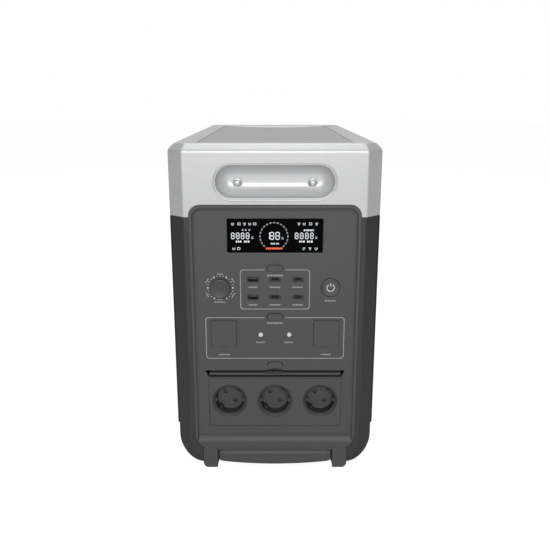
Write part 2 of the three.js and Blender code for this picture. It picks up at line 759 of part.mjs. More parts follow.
// The rear panel carries the charging inlet and the vents in front of the fan.
function rearPanel() {
  const back = DEPTH / 2;
  const { half, low, high } = REAR;
  const panel = block(-half + GAP, half - GAP, back - WALL, back - 1, low + GAP, high - GAP);
  const { half: halfWide, radius, wall, deep, pinPitch } = INLET;
  const halfTall = INLET.tall / 2;
  const y0 = back - THROUGH;
  const y1 = back + PAST;
  const inlet = roundedPlate(INLET.x, INLET.z, halfWide + GAP, halfTall + GAP, radius, y0, y1);
  const vents = [];
  for (let row = 0; row < VENT.rows; row++) {
    const z = FAN.z + (row - (VENT.rows - 1) / 2) * VENT.pitch;
    for (const [, side] of SIDES) {
      const x = FAN.x + side * VENT.column;
      vents.push(block(x - VENT.half, x + VENT.half, y0, y1, z - VENT.high, z + VENT.high));
    }
  }
  piece("rear_panel", cut(panel, inlet, ...vents), "graphite");

  const floor = back - deep + WALL;
  const body = roundedPlate(0, 0, halfWide, halfTall, radius, back - deep, back - 0.5);
  const mouth = roundedPlate(0, 0, halfWide - wall, halfTall - wall, radius - 1, floor, y1);
  const pins = [-1, 0, 1].map((i) => {
    const x = pinPitch * i;
    const z = i === 0 ? 3 : -3; // the earth pin stands above the other two
    return block(x - 1, x + 1, floor - PAST, y0, z - 3, z + 3);
  });
  piece("ac_inlet", joined(cut(body, mouth), ...pins), "black", [INLET.x, 0, INLET.z]);
}

function coolingFan() {
  const { half, deep, bore, hub, pin } = FAN;
  const back = DEPTH / 2 - 2 * WALL;
  const front = back - deep;
  const webThick = 3;
  const motorDeep = 4;
  const frame = roundedPlate(0, 0, half, half, 4, front, back);
  const tunnel = bar(0, 0, bore, front - PAST, back + PAST, ROUND_SIDES);
  const motor = bar(0, 0, hub - 2, front, front + motorDeep, ROUND_SIDES);
  const spindle = bar(0, 0, pin, front, back - 3);
  const arms = block(-bore - 1, bore + 1, front, front + webThick, -2.5, 2.5);
  const at = [FAN.x, 0, FAN.z];
  piece("fan_frame", joined(cut(frame, tunnel), motor, arms, spindle), "black", at);

  const hubFront = front + motorDeep + 2 * GAP;
  const bearing = bar(0, 0, pin + 0.5, hubFront - PAST, back - 2.5);
  const cap = cut(bar(0, 0, hub, hubFront, back - 1, ROUND_SIDES), bearing);
  const blades = [];
  for (let i = 0; i < FAN.blades; i++) {
    const blade = new THREE.BoxGeometry(bore - hub, 1.6, 15);
    blade.rotateX(Math.PI / 5);
    blade.translate((bore + hub) / 2 - 2, (hubFront + back) / 2, 0);
    blades.push(solidOf(blade.rotateY((2 * Math.PI * i) / FAN.blades)));
  }
  piece("fan_rotor", joined(cap, ...blades), "black", at);
}

function innards() {
  for (const [name, { half, front, rear, low, high }, finish] of [
    ["battery_pack", BATTERY, "pack"],
    ["inverter_module", INVERTER, "steel"],
  ]) {
    piece(name, block(-half, half, front, rear, low, high), finish);
  }
  const y = PANEL_BACK + BOARD.behind;
  piece("control_board", block(-BOARD.half, BOARD.half, y, y + BOARD.thick, BOARD.low, BOARD.high), "board");
}

lowerShell();
sidePanels();
upperShell();
topLid();
grips();
frontFrame();
frontPanel();
display();
regulatorKnob();
pushButtons();
usbPorts();
expansionSockets();
indicatorLenses();
outlets();
outletDoor();
frontFeet();
pullHandle();
wheels();
rearPanel();
coolingFan();
innards();

export default station;
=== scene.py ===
import math
import random

import bmesh
import bpy
from mathutils import Matrix, Vector


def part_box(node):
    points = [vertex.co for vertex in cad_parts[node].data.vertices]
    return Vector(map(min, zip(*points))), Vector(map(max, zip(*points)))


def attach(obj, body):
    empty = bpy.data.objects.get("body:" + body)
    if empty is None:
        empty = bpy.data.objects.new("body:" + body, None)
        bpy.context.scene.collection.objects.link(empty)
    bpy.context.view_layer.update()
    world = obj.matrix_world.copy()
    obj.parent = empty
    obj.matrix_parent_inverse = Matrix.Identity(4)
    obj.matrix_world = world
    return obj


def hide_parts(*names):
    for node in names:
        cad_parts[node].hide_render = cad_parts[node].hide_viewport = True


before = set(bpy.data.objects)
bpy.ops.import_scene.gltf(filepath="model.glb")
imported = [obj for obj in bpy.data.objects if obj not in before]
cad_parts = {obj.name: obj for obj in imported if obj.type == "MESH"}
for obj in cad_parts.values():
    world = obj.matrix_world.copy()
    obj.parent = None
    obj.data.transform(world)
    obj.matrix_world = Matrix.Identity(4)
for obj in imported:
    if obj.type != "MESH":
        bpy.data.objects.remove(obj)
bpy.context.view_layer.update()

MM = 0.001  # sizes and places below are in millimetres; meshes are made in metres

# ---------------------------------------------------------------- camera, light and floor
# A plain white studio: a pale floor, a broad soft light in front and one overhead. Its side walls
# are dimmer, which draws the casing's chamfers. The floor and the walls are white to the camera and
# dimmer for bounced light.
CAMERA_STAND_OFF = 855
CAMERA_HEIGHT = 516.8
CAMERA_PITCH = 15
FIELD_OF_VIEW = 45
SENSOR = 36

scene = bpy.context.scene
front_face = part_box("lower_shell")[0].y / MM
camera = bpy.data.objects.new("camera", bpy.data.cameras.new("camera"))
camera.data.sensor_width = SENSOR
camera.data.lens = SENSOR / 2 / math.tan(math.radians(FIELD_OF_VIEW / 2))
camera.location = Vector((0, front_face - CAMERA_STAND_OFF, CAMERA_HEIGHT)) * MM
camera.rotation_euler = (math.radians(90 - CAMERA_PITCH), 0, 0)
scene.collection.objects.link(camera)
scene.camera = camera
scene.view_settings.view_transform = "Standard"


def soft_light(name, place, aim, width, height, power):
    lamp = bpy.data.lights.new(name, "AREA")
    lamp.shape = "RECTANGLE"
    lamp.size = width
    lamp.size_y = height
    lamp.energy = power
    light = bpy.data.objects.new(name, lamp)
    light.location = place
    light.rotation_euler = (Vector(aim) - Vector(place)).to_track_quat("-Z", "Y").to_euler()
    light.visible_camera = False
    scene.collection.objects.link(light)


soft_light("key", (0, -2.6, 1.15), (0, -0.3, 0.25), 1.6, 0.9, 35)
soft_light("overhead", (0, 0.3, 2.2), (0, 0, 0.3), 1.0, 2.0, 13)


def set_sockets(node, sockets):
    """Gives each named socket of a node a value, or a link from another node's socket."""
    for name, value in sockets.items():
        if isinstance(value, bpy.types.NodeSocket):
            node.id_data.links.new(value, node.inputs[name])
        else:
            node.inputs[name].default_value = value
    return node


def add_node(tree, kind, sockets={}, **settings):
    """A new shader node with its settings and its sockets filled in."""
    node = tree.nodes.new("ShaderNode" + kind)
    for name, value in settings.items():
        setattr(node, name, value)
    return set_sockets(node, sockets)


def new_finish(name):
    """A new material, its node tree, its skin and the object's own coordinates."""
    finish = bpy.data.materials.new(name)
    finish.use_nodes = True
    tree = finish.node_tree
    return finish, tree, tree.nodes["Principled BSDF"], add_node(tree, "TexCoord").outputs["Object"]


world = bpy.data.worlds.new("studio")
world.use_nodes = True
scene.world = world
air = world.node_tree
air.nodes.clear()
parts = add_node(air, "SeparateXYZ", {0: add_node(air, "TexCoord").outputs["Generated"]})
aside = add_node(air, "Math", {0: parts.outputs["X"]}, operation="ABSOLUTE")
dimming = {"Value": aside.outputs[0], "From Min": 0.2, "From Max": 0.55, "To Min": 0.58, "To Max": 0.0}
walls = add_node(air, "MapRange", dimming, interpolation_type="SMOOTHSTEP")
rays = add_node(air, "LightPath").outputs["Is Camera Ray"]
seen = add_node(air, "Mix", {"Factor": rays, "A": walls.outputs[0], "B": 1.0})
glow = add_node(air, "Background", {"Color": (1, 1, 1, 1), "Strength": seen.outputs["Result"]})
add_node(air, "OutputWorld", {0: glow.outputs[0]})

FLOOR_HALF = 12
floor_mesh = bpy.data.meshes.new("floor")
floor_mesh.from_pydata([(FLOOR_HALF * x, FLOOR_HALF * y, 0) for x, y in ((-1, -1), (1, -1), (1, 1), (-1, 1))],
                       [], [(0, 1, 2, 3)])
floor = bpy.data.objects.new("floor", floor_mesh)
scene.collection.objects.link(floor)
paper, tree, skin, place = new_finish("paper")
rays = add_node(tree, "LightPath").outputs["Is Camera Ray"]
paper_glow = add_node(tree, "MapRange", {"Value": rays, "To Min": 0.12, "To Max": 0.86})
set_sockets(skin, {"Base Color": (0.42, 0.42, 0.42, 1), "Roughness": 0.9, "Emission Color": (1, 1, 1, 1),
                   "Emission Strength": paper_glow.outputs[0]})
floor.data.materials.append(paper)

# ---------------------------------------------------------------- lower shell
# The dark tub that carries everything: one deep injection moulding in charcoal plastic with a fine
# spark-eroded grain, 4 mm walls, chamfered upright corners and a round belly.
SHARP = 32  # degrees: an edge sharper than this stays crisp
EDGE_SOFTENING = 0.5
WALL = 4
CLEARANCE = 0.3
PAST = 2  # how far a cutter runs past the face that it opens
CORNER_CHAMFER = 18
CORNER_EASE = 4
ROOM_CHAMFER = 15.7
ROOM_EASE = 2
NOSE_RADIUS = 9
BELLY_RADIUS = 38
WELL_RADIUS = 54
WELL_INSIDE = 100
WELL_OUTSIDE = 141
POCKET_DEEP = 38
POCKET_HALF = 81
GRIP_GAP = 0.7
FIELD_HALF = 109.4
LEDGE_DEEP = 42
LEDGE_HIGH = 46
SEAT_HALF = 113.3
FRAME_LOW_RADIUS = 25
HANDLE_HOLE = 6.6
AXLE_HOLE = 4.5


def box_mm(node):
    low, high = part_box(node)
    return low / MM, high / MM


def centre_mm(node):
    low, high = box_mm(node)
    return (low + high) / 2


def shade(mesh):
    for face in mesh.polygons:
        face.use_smooth = True
    mesh.set_sharp_from_angle(angle=math.radians(SHARP))


def mesh_piece(name, points, faces):
    """A closed mesh piece from points in millimetres."""
    mesh = bpy.data.meshes.new(name)
    mesh.from_pydata([Vector(p) * MM for p in points], [], faces)
    shell = bmesh.new()
    shell.from_mesh(mesh)
    bmesh.ops.remove_doubles(shell, verts=shell.verts, dist=0.002 * MM)
    bmesh.ops.recalc_face_normals(shell, faces=shell.faces)
    shell.to_mesh(mesh)
    shell.free()
    shade(mesh)
    piece = bpy.data.objects.new(name, mesh)
    scene.collection.objects.link(piece)
    return piece


def settle(piece):
    """Turns a piece's modifiers into its mesh."""
    bpy.context.view_layer.update()
    made = bpy.data.meshes.new_from_object(piece.evaluated_get(bpy.context.evaluated_depsgraph_get()))
    piece.modifiers.clear()
    piece.data = made
    return piece


def carve(piece, *cutters, operation="DIFFERENCE"):
    for cutter in cutters:
        tool = piece.modifiers.new("carve", "BOOLEAN")
        tool.operation = operation
        tool.solver = "EXACT"
        tool.object = cutter
        shade(settle(piece).data)
        bpy.data.objects.remove(cutter)
    return piece


def soften(piece, width=EDGE_SOFTENING, segments=2, angle=50):
    bevel = piece.modifiers.new("soften", "BEVEL")
    bevel.width = width * MM
    bevel.segments = segments
    bevel.limit_method = "ANGLE"
    bevel.angle_limit = math.radians(angle)
    bevel.miter_outer = "MITER_ARC"
    level = piece.modifiers.new("level", "WEIGHTED_NORMAL")
    level.keep_sharp = True
    return settle(piece)


def block(name, low, high):
    corners = [(x, y, z) for x in (low[0], high[0]) for y in (low[1], high[1]) for z in (low[2], high[2])]
    faces = [(0, 1, 3, 2), (4, 6, 7, 5), (0, 4, 5, 1), (2, 3, 7, 6), (0, 2, 6, 4), (1, 5, 7, 3)]
    return mesh_piece(name, corners, faces)


def loft(name, rings, closed=False):
    """Skins rings of points one after another, with flat ends, or back to the first ring."""
    count = len(rings[0])
    points = [p for ring in rings for p in ring]
    faces = []
    pairs = len(rings) if closed else len(rings) - 1
    for i in range(pairs):
        a = i * count
        b = ((i + 1) % len(rings)) * count
        for k in range(count):
            n = (k + 1) % count
            faces.append((a + k, a + n, b + n, b + k))
    if not closed:
        faces.append(tuple(range(count)))
        last = (len(rings) - 1) * count
        faces.append(tuple(last + k for k in range(count)))
    return mesh_piece(name, points, faces)


def turned(name, profile, at=(0, 0, 0), axis="Y", steps=64):
    """A profile of (radius, along) points turned about an axis through a place."""
    turn = {"Y": lambda r, a, c, s: (r * c, a, r * s), "X": lambda r, a, c, s: (a, r * c, r * s)}[axis]
    rings = []
    for radius, along in profile:
        ring = []
        for k in range(steps):
            angle = 2 * math.pi * k / steps
            x, y, z = turn(radius, along, math.cos(angle), math.sin(angle))
            ring.append((x + at[0], y + at[1], z + at[2]))
        rings.append(ring)
    on_axis = profile[0][0] == 0
    return loft(name, rings, closed=not on_axis)


def rod(name, radius, start, end, at, axis="Y", steps=64):
    """A plain round bar between two places along an axis."""
    return turned(name, [(0, start), (radius, start), (radius, end), (0, end)], at, axis, steps)


def eased(a, b, c, steps):
    """Points along a smooth bend from a to c that leans towards the corner b."""
    line = []
    for i in range(steps + 1):
        u = i / steps
        line.append(tuple((1 - u) ** 2 * p + 2 * u * (1 - u) * q + u * u * r for p, q, r in zip(a, b, c)))
    return line


def chamfer_line(size, soft, steps=5):
    """(depth, inset) points over a 45 degree chamfer whose two edges are rounded."""
    t = soft * math.tan(math.radians(22.5))
    d = t * math.sqrt(0.5)
    first = eased((0, size + t), (0, size), (d, size - d), steps)
    return first + eased((size - d, d), (size, 0), (size + t, 0), steps)


def round_line(size, steps=5):
    """The same number of (depth, inset) points over a quarter round."""
    count = 2 * (steps + 1)
    angles = [math.pi / 2 * i / (count - 1) for i in range(count)]
    return [(size * (1 - math.cos(a)), size * (1 - math.sin(a))) for a in angles]


def casing_ring(form, side, lower, upper, steps):
    """One ring round a casing form, drawn in by (depth, inset) at its sides, its underside and its top."""
    half, low, high, low_radius, high_radius = form
    x = half - side[1]
    corners = [
        (1, -1, low_radius, low, lower, -90),
        (1, 1, high_radius, high, upper, 0),
        (-1, 1, high_radius, high, upper, 90),
        (-1, -1, low_radius, low, lower, 180),
    ]
    ring = []
    for right, up, radius, edge, (depth, inset), start in corners:
        if not radius:
            ring.append((right * x, side[0], edge))
            continue
        z = edge - up * inset
        bend = max(0.35 * radius, radius - 0.4 * (side[1] + inset))
        for i in range(steps + 1):
            a = math.radians(start + 90 * i / steps)
            c, s = math.cos(a), math.sin(a)
            sunk = c * c * side[0] + s * s * depth
            ring.append((right * (x - bend) + bend * c, sunk, z - up * bend + bend * s))
    return ring


def casing_block(name, form, half_depth, side_line, low_line, high_line, steps=10):
    """A casing form carried from front to rear, with dressed front and rear edges."""
    front = []
    for side, lower, upper in zip(side_line, low_line, high_line):
        ring = casing_ring(form, side, lower, upper, steps)
        front.append([(x, y - half_depth, z) for x, y, z in ring])
    rear = [[(x, -y, z) for x, y, z in ring] for ring in reversed(front)]
    return loft(name, front + rear)


def grained(name, colour, tones, cloud, gloss, grain, bump, scratch=None, metallic=0.0):
    """A finish whose tone drifts slowly, with a fine grain in its gloss and in its surface."""
    finish, tree, skin, place = new_finish(name)
    drift = add_node(tree, "TexNoise", {"Vector": place, "Scale": cloud[0], "Detail": cloud[1]})
    dark, pale = [(*[c * tone for c in colour], 1) for tone in tones]
    tone = add_node(tree, "Mix", {"Factor": drift.outputs["Fac"], "A": dark, "B": pale}, data_type="RGBA")
    if scratch:
        place = add_node(tree, "Mapping", {"Vector": place, "Scale": scratch}).outputs[0]
    fine = add_node(tree, "TexNoise", {"Vector": place, "Scale": grain[0], "Detail": grain[1]})
    speck = fine.outputs["Fac"]
    sheen = add_node(tree, "MapRange", {"Value": speck, "To Min": gloss[0], "To Max": gloss[1]})
    dent = add_node(tree, "Bump", {"Height": speck, "Strength": bump[0], "Distance": bump[1] * MM})
    set_sockets(skin, {"Metallic": metallic, "Base Color": tone.outputs["Result"],
                       "Roughness": sheen.outputs[0], "Normal": dent.outputs[0]})
    return finish


def moulding(name, colour, roughness, grain=0.9, depth=0.08, mottle=0.06, metallic=0.0):
    """Moulded plastic or paint."""
    return grained(name, colour, (1 - mottle, 1 + mottle), (9, 5), (roughness - 0.05, roughness + 0.05),
                   (1000 / grain, 3), (0.35, depth), metallic=metallic)


def mount(piece, finish, body, slot, *nodes):
    """Gives a new piece its finish, the body that it rides on and the frame nodes that it stands for."""
    piece.data.materials.clear()
    piece.data.materials.append(finish)
    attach(piece, body)
    if nodes:
        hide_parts(*nodes)
    return piece


def wheel_well(side, spare):
    """A cutter for one wheel's arch: a drum over the axle, and the room below it."""
    wheel = centre_mm("axle")
    reach = WELL_RADIUS + spare
    x0, x1 = sorted((side * (WELL_INSIDE - spare), side * WELL_OUTSIDE))
    drum = rod("well", reach, x0, x1, (0, wheel.y, wheel.z), "X", 96)
    low = block("well_low", (x0, wheel.y - reach, -1), (x1, -front_face + PAST, wheel.z))
    return carve(drum, low, operation="UNION")


foot_low, foot_high = box_mm("front_foot_right")
grip_low, grip_high = box_mm("pull_grip")


def base_pocket(spare):
    """A cutter for the hollow that the pull grip and the front feet stand in."""
    back = front_face + POCKET_DEEP + spare
    roof = grip_high.z + GRIP_GAP + spare
    reach = POCKET_HALF + spare
    middle = block("pocket", (-reach, front_face - PAST, -1), (reach, back, roof))
    for side in (-1, 1):
        x0, x1 = sorted((side * (foot_low.x - CLEARANCE - spare), side * (foot_high.x + CLEARANCE + spare)))
        high = foot_high.z + CLEARANCE + spare
        foot = block("pocket_foot", (x0, front_face - 3, -2), (x1, back - 0.01, high))
        carve(middle, foot, operation="UNION")
    return middle


def flat_loop(x0, x1, z0, z1, low_radius, high_radius, steps=8):
    """Points round a rectangle with round corners, in X and Z."""
    points = []
    corners = [
        (x1 - low_radius, z0 + low_radius, low_radius, -90),
        (x1 - high_radius, z1 - high_radius, high_radius, 0),
        (x0 + high_radius, z1 - high_radius, high_radius, 90),
        (x0 + low_radius, z0 + low_radius, low_radius, 180),
    ]
    for x, z, radius, start in corners:
        if not radius:
            points.append((x, z))
            continue
        for i in range(steps + 1):
            a = math.radians(start + 90 * i / steps)
            points.append((x + radius * math.cos(a), z + radius * math.sin(a)))
    return points


def around(low, high, spare, low_radius, high_radius, steps=8):
    """A rectangle with round corners that stands off a box by some spare room."""
    x0, x1 = low.x - spare, high.x + spare
    return flat_loop(x0, x1, low.z - spare, high.z + spare, low_radius, high_radius, steps)


def prism(name, loop, front, back):
    """A loop drawn in X and Z, carried from front to back."""
    return loft(name, [[(x, y, z) for x, z in loop] for y in (front, back)])


shell_low, shell_high = box_mm("lower_shell")
frame_low, frame_high = box_mm("front_frame")
rear_low, rear_high = box_mm("rear_panel")
half_depth = -front_face
half = shell_high.x
corner_line = chamfer_line(CORNER_CHAMFER, CORNER_EASE)
room_line = chamfer_line(ROOM_CHAMFER, ROOM_EASE)
nose_line = round_line(NOSE_RADIUS)
tub_form = (half, shell_low.z, shell_high.z, BELLY_RADIUS, 0)
room_form = (half - WALL, shell_low.z + WALL, shell_high.z + NOSE_RADIUS, BELLY_RADIUS - WALL, 0)
tub = casing_block("lower_shell_skin", tub_form, half_depth, corner_line, nose_line, nose_line, 16)
room = casing_block("room", room_form, half_depth - WALL, room_line, nose_line, nose_line)
ledge = block("ledge", (-FIELD_HALF, front_face - 1, -1), (FIELD_HALF, front_face + LEDGE_DEEP, LEDGE_HIGH))
carve(room, base_pocket(WALL), ledge, wheel_well(-1, WALL), wheel_well(1, WALL))
seat = flat_loop(-SEAT_HALF, SEAT_HALF, frame_low.z - CLEARANCE, frame_high.z, FRAME_LOW_RADIUS, 0)
doorway = block("doorway", (rear_low.x - CLEARANCE, rear_low.y - 5, rear_low.z - CLEARANCE),
                (rear_high.x + CLEARANCE, half_depth + PAST, rear_high.z + CLEARANCE))
carve(tub, room, prism("seat", seat, front_face - PAST, frame_high.y + CLEARANCE), base_pocket(0))
carve(tub, wheel_well(-1, 0), wheel_well(1, 0), doorway)
tube_at = centre_mm("handle_tube_right")
for side in (-1, 1):
    hole_at = (side * tube_at.x, front_face + POCKET_DEEP, tube_at.z)
    carve(tub, rod("hole", HANDLE_HOLE, -45, 12, hole_at, steps=32))
axle = centre_mm("axle")
carve(tub, rod("axle_hole", AXLE_HOLE, -150, 150, (0, axle.y, axle.z), "X", 32))
soften(tub, 0.4)
charcoal = moulding("charcoal_plastic", (0.040, 0.041, 0.043), 0.52)
mount(tub, charcoal, "casing", "charcoal_case", "lower_shell")

# ---------------------------------------------------------------- side panels
# Two long cladding panels, clipped to the tub's flanks: the same charcoal plastic, 1.7 mm thick,
# with a dressed edge all round and an arch over each wheel.
for name, side in (("left", -1), ("right", 1)):
    low, high = box_mm("side_panel_" + name)
    inside, outside = sorted((low.x, high.x), key=abs)
    end = high.y - abs(outside - inside)
    plan = [(inside, -high.y), (outside, -end), (outside, end), (inside, high.y)]
    panel = loft("side_panel_%s_skin" % name, [[(x, y, z) for x, y in plan] for z in (low.z, high.z)])
    carve(panel, wheel_well(side, 0))
    soften(panel, 0.5, 3)
    mount(panel, charcoal, "casing", "charcoal_case", "side_panel_" + name)

# ---------------------------------------------------------------- upper shell
# The silver crown of the casing: moulded plastic under satin metallic paint, 3.5 mm walls,
# with a chamfer down each corner, a dressed brow, and an arch over the front frame.
crown_low, crown_high = box_mm("upper_shell")
lid_low, lid_high = box_mm("top_lid")
cup_low, cup_high = box_mm("front_grip_cup")
BROW = 9
GRIP_WALL = 1.7
GRIP_RADIUS = 22.5
GRIP_HALF = 78.5
CROWN_WALL = 3.5
CROWN_ROOM_TOP = 452
LID_POCKET = (454, 470)
LID_GAP = 0.6
ARCH_RADIUS = 15.3
REAR_HOLE = (291, 302)
grip_height = (cup_low.z + cup_high.z) / 2


def plan_ring(inset, z, corner=20, soft=4):
    """The crown's plan at one height: a rectangle with 45 degree corners whose edges are eased."""
    x = crown_high.x - inset
    y = half_depth - inset
    cut = corner - inset * (2 - math.sqrt(2))
    ease = soft * math.tan(math.radians(22.5))
    slant = ease * math.sqrt(0.5)
    ring = []
    for sx, sy in ((1, -1), (1, 1), (-1, 1), (-1, -1)):
        first = [(x - cut - ease, y), (x - cut, y), (x - cut + slant, y - slant)]
        second = [(x - slant, y - cut + slant), (x, y - cut), (x, y - cut - ease)]
        points = eased(*first, 4) + eased(*second, 4)
        if sx != -sy:
            points.reverse()
        ring += [(sx * px, sy * py, z) for px, py in points]
    return ring


brow_line = [(depth, crown_high.z - inset) for depth, inset in chamfer_line(BROW, 7, 6)]
crown_rings = [plan_ring(inset, z) for inset, z in brow_line]
crown = loft("upper_shell_skin", [plan_ring(0, crown_low.z)] + crown_rings)
crown_room = loft("crown_room", [plan_ring(CROWN_WALL, z, 20, 2) for z in (crown_low.z - 9, CROWN_ROOM_TOP)])
lid_pocket = block("lid_pocket", (lid_low.x - LID_GAP, lid_low.y - LID_GAP, LID_POCKET[0]),
                   (lid_high.x + LID_GAP, lid_high.y + LID_GAP, LID_POCKET[1]))
arch = flat_loop(-SEAT_HALF, SEAT_HALF, crown_low.z - 20, frame_high.z + CLEARANCE, 0, ARCH_RADIUS, 12)
carve(crown, crown_room, lid_pocket, prism("arch", arch, front_face - PAST, frame_high.y + CLEARANCE))
hole_half = GRIP_HALF + GRIP_WALL + CLEARANCE
hole_radius = GRIP_RADIUS + GRIP_WALL + CLEARANCE
grip_hole = flat_loop(-hole_half, hole_half, grip_height - hole_radius, grip_height + hole_radius,
                      hole_radius, hole_radius, 20)
for reach in ((front_face - PAST, front_face + 9), REAR_HOLE):
    carve(crown, prism("hole", grip_hole, *reach))
soften(crown, 0.5)
silver = moulding("silver_paint", (0.66, 0.665, 0.67), 0.38, 0.6, 0.03, mottle=0.02, metallic=0.22)
mount(crown, silver, "casing", "silver_shell", "upper_shell")

# ---------------------------------------------------------------- top lid
# A long tray set into the crown: satin grey plastic, dished a few millimetres across its width,
# so that things laid on it don't roll off.
DISH = 3.6
lid_rings = []
for y in (lid_low.y, lid_high.y):
    top = []
    for i in range(33):
        u = i / 16 - 1
        top.append((u * lid_high.x, y, lid_high.z - DISH * (1 - u * u)))
    lid_rings.append([(lid_high.x, y, lid_low.z), (lid_low.x, y, lid_low.z)] + top)
lid = loft("top_lid_tray", lid_rings)
soften(lid, 0.5)
lid_grey = moulding("lid_plastic", (0.50, 0.505, 0.51), 0.5, grain=1.0, depth=0.05, mottle=0.03, metallic=0.1)
mount(lid, lid_grey, "casing", "grey_lid", "top_lid")

# ---------------------------------------------------------------- grip cups
# Two bath-shaped hand recesses in the same silver-painted plastic, 1.7 mm thick, pushed into the
# crown from outside. A double bead hides the joint, and each is held by two flanged machine screws.
GRIP_DEPTH = 28
GRIP_FILLET = 17
GRIP_FLOOR = 2.7
GRIP_MOUTH = -2.0


def grip_ring(outset, depth, direction):
    reach = GRIP_HALF + outset
    radius = GRIP_RADIUS + outset
    loop = flat_loop(-reach, reach, -radius, radius, radius, radius, 16)
    return [(direction * x, direction * (front_face + depth), grip_height + z) for x, z in loop]


bead = [(2.6, -0.3), (2.6, -0.8), (2.3, -1.3), (1.7, -1.5), (1.1, -1.3), (0.7, -0.8), (0.4, -0.5),
        (0.0, -0.7), (-0.4, -1.0), (-0.9, -0.9), (-1.2, -0.4), (-1.3, 0.5), (-1.5, 4)]
fillet = []
for i in range(13):
    a = math.pi / 2 * i / 12
    outset = GRIP_MOUTH - GRIP_FILLET * (1 - math.cos(a))
    fillet.append((outset, GRIP_DEPTH - GRIP_FILLET * (1 - math.sin(a))))
cup_line = [(-8, GRIP_DEPTH + GRIP_FLOOR), (0, GRIP_DEPTH), (GRIP_WALL, 20), (GRIP_WALL, -0.3)]
cup_line += bead + fillet
for end, direction in (("front", 1), ("rear", -1)):
    cup = loft(end + "_grip_cup_skin", [grip_ring(outset, depth, direction) for outset, depth in cup_line])
    mount(cup, silver, "casing", "silver_shell", end + "_grip_cup")

# ---------------------------------------------------------------- grip screws
# Four plated steel machine screws with a wide flange and a domed head, each turned from bar and
# punched with a cross recess. They pull the cups against the crown.
HEAD = [(0, -4.2), (1.8, -4.1), (3.1, -3.7), (4.1, -3.0), (4.5, -2.2), (4.5, -1.6), (6.2, -1.2), (6.5, -0.9),
        (6.5, -0.3), (2.5, -0.3), (2.5, 9), (0, 9)]
CROSS_LONG = 2.3
CROSS_HALF = 0.5


def metal(name, colour, roughness, scratch=(1, 1, 1)):
    """Bare metal, with a fine directional scratch."""
    return grained(name, colour, (0.92, 1), (60, 2), (roughness - 0.08, roughness + 0.08), (900, 4),
                   (0.3, 0.02), scratch, 1)


steel = metal("plated_steel", (0.66, 0.67, 0.68), 0.46)
for end, direction in (("front", 1), ("rear", -1)):
    for name in ("left", "right"):
        node = "grip_screw_%s_%s" % (end, name)
        at = centre_mm(node)
        seat = direction * (front_face + GRIP_DEPTH)
        line = [(radius, direction * along) for radius, along in HEAD]
        screw = turned(node + "_turned", line, (at.x, seat, at.z), steps=40)
        y0, y1 = sorted((seat - direction * 2.9, seat - direction * 5))
        for long, tall in ((CROSS_LONG, CROSS_HALF), (CROSS_HALF, CROSS_LONG)):
            carve(screw, block("cross", (at.x - long, y0, at.z - tall), (at.x + long, y1, at.z + tall)))
        mount(screw, steel, "casing", "bright_steel", node)

# ---------------------------------------------------------------- front frame
# A graphite moulding that trims the front: a 4 mm band up both sides and over the top, coved on its
# inner side, and a deeper coved sill below with a shallow recess over the pull grip. It clips into
# the seam between the two shells.
panel_low, panel_high = box_mm("front_panel")
panel_face = panel_low.y
graphite = moulding("graphite_plastic", (0.078, 0.079, 0.082), 0.55, grain=0.7, depth=0.05)
COVE_RADIUS = 13.3
COVE_TURN = 46
SIDE_COVE = 5.5
FIELD_LOW = 50
FIELD_HIGH = 376.5
MOUTH_RISE = 0.7
MOUTH_RADIUS = 12
LIP_DEEP = 0.8
LIP_HALF = 82
LIP_LOW = 20
LIP_HIGH = 38.5


def prisms(name, loops, front, back):
    """Several loops drawn in X and Z, carried from front to back as one mesh."""
    points = []
    faces = []
    for loop in loops:
        base = len(points)
        count = len(loop)
        points += [(x, front, z) for x, z in loop] + [(x, back, z) for x, z in loop]
        for k in range(count):
            n = (k + 1) % count
            faces.append((base + k, base + n, base + count + n, base + count + k))
        faces += [tuple(range(base, base + count)), tuple(range(base + count, base + 2 * count))]
    return mesh_piece(name, points, faces)


def round_hole(x, z, radius, steps=48):
    angles = [2 * math.pi * k / steps for k in range(steps)]
    return [(x + radius * math.cos(a), z + radius * math.sin(a)) for a in angles]


band = around(frame_low, frame_high, 0, FRAME_LOW_RADIUS, 15, 16)
frame_ring = prism("front_frame_ring", band, frame_low.y, frame_high.y)
field = flat_loop(-FIELD_HALF, FIELD_HALF, FIELD_LOW, FIELD_HIGH, 8, 11, 12)
carve(frame_ring, prism("field", field, panel_face, frame_high.y + 1))
sweep = [(0, frame_low.y - 1)]
for i in range(13):
    a = math.radians(90) * i / 12
    sweep.append((SIDE_COVE * (1 - math.cos(a)), frame_low.y + (panel_face - frame_low.y) * math.sin(a)))
sweep.append((SIDE_COVE, panel_face + 1))


def mouth(low):
    """The opening as far down as low, narrowing from the frame's face to the panel's."""
    rings = []
    for inset, y in sweep:
        high = FIELD_HIGH + MOUTH_RISE - inset
        loop = flat_loop(inset - FIELD_HALF, FIELD_HALF - inset, low, high, 0, MOUTH_RADIUS - inset, 12)
        rings.append([(x, y, z) for x, z in loop])
    return loft("mouth", rings)


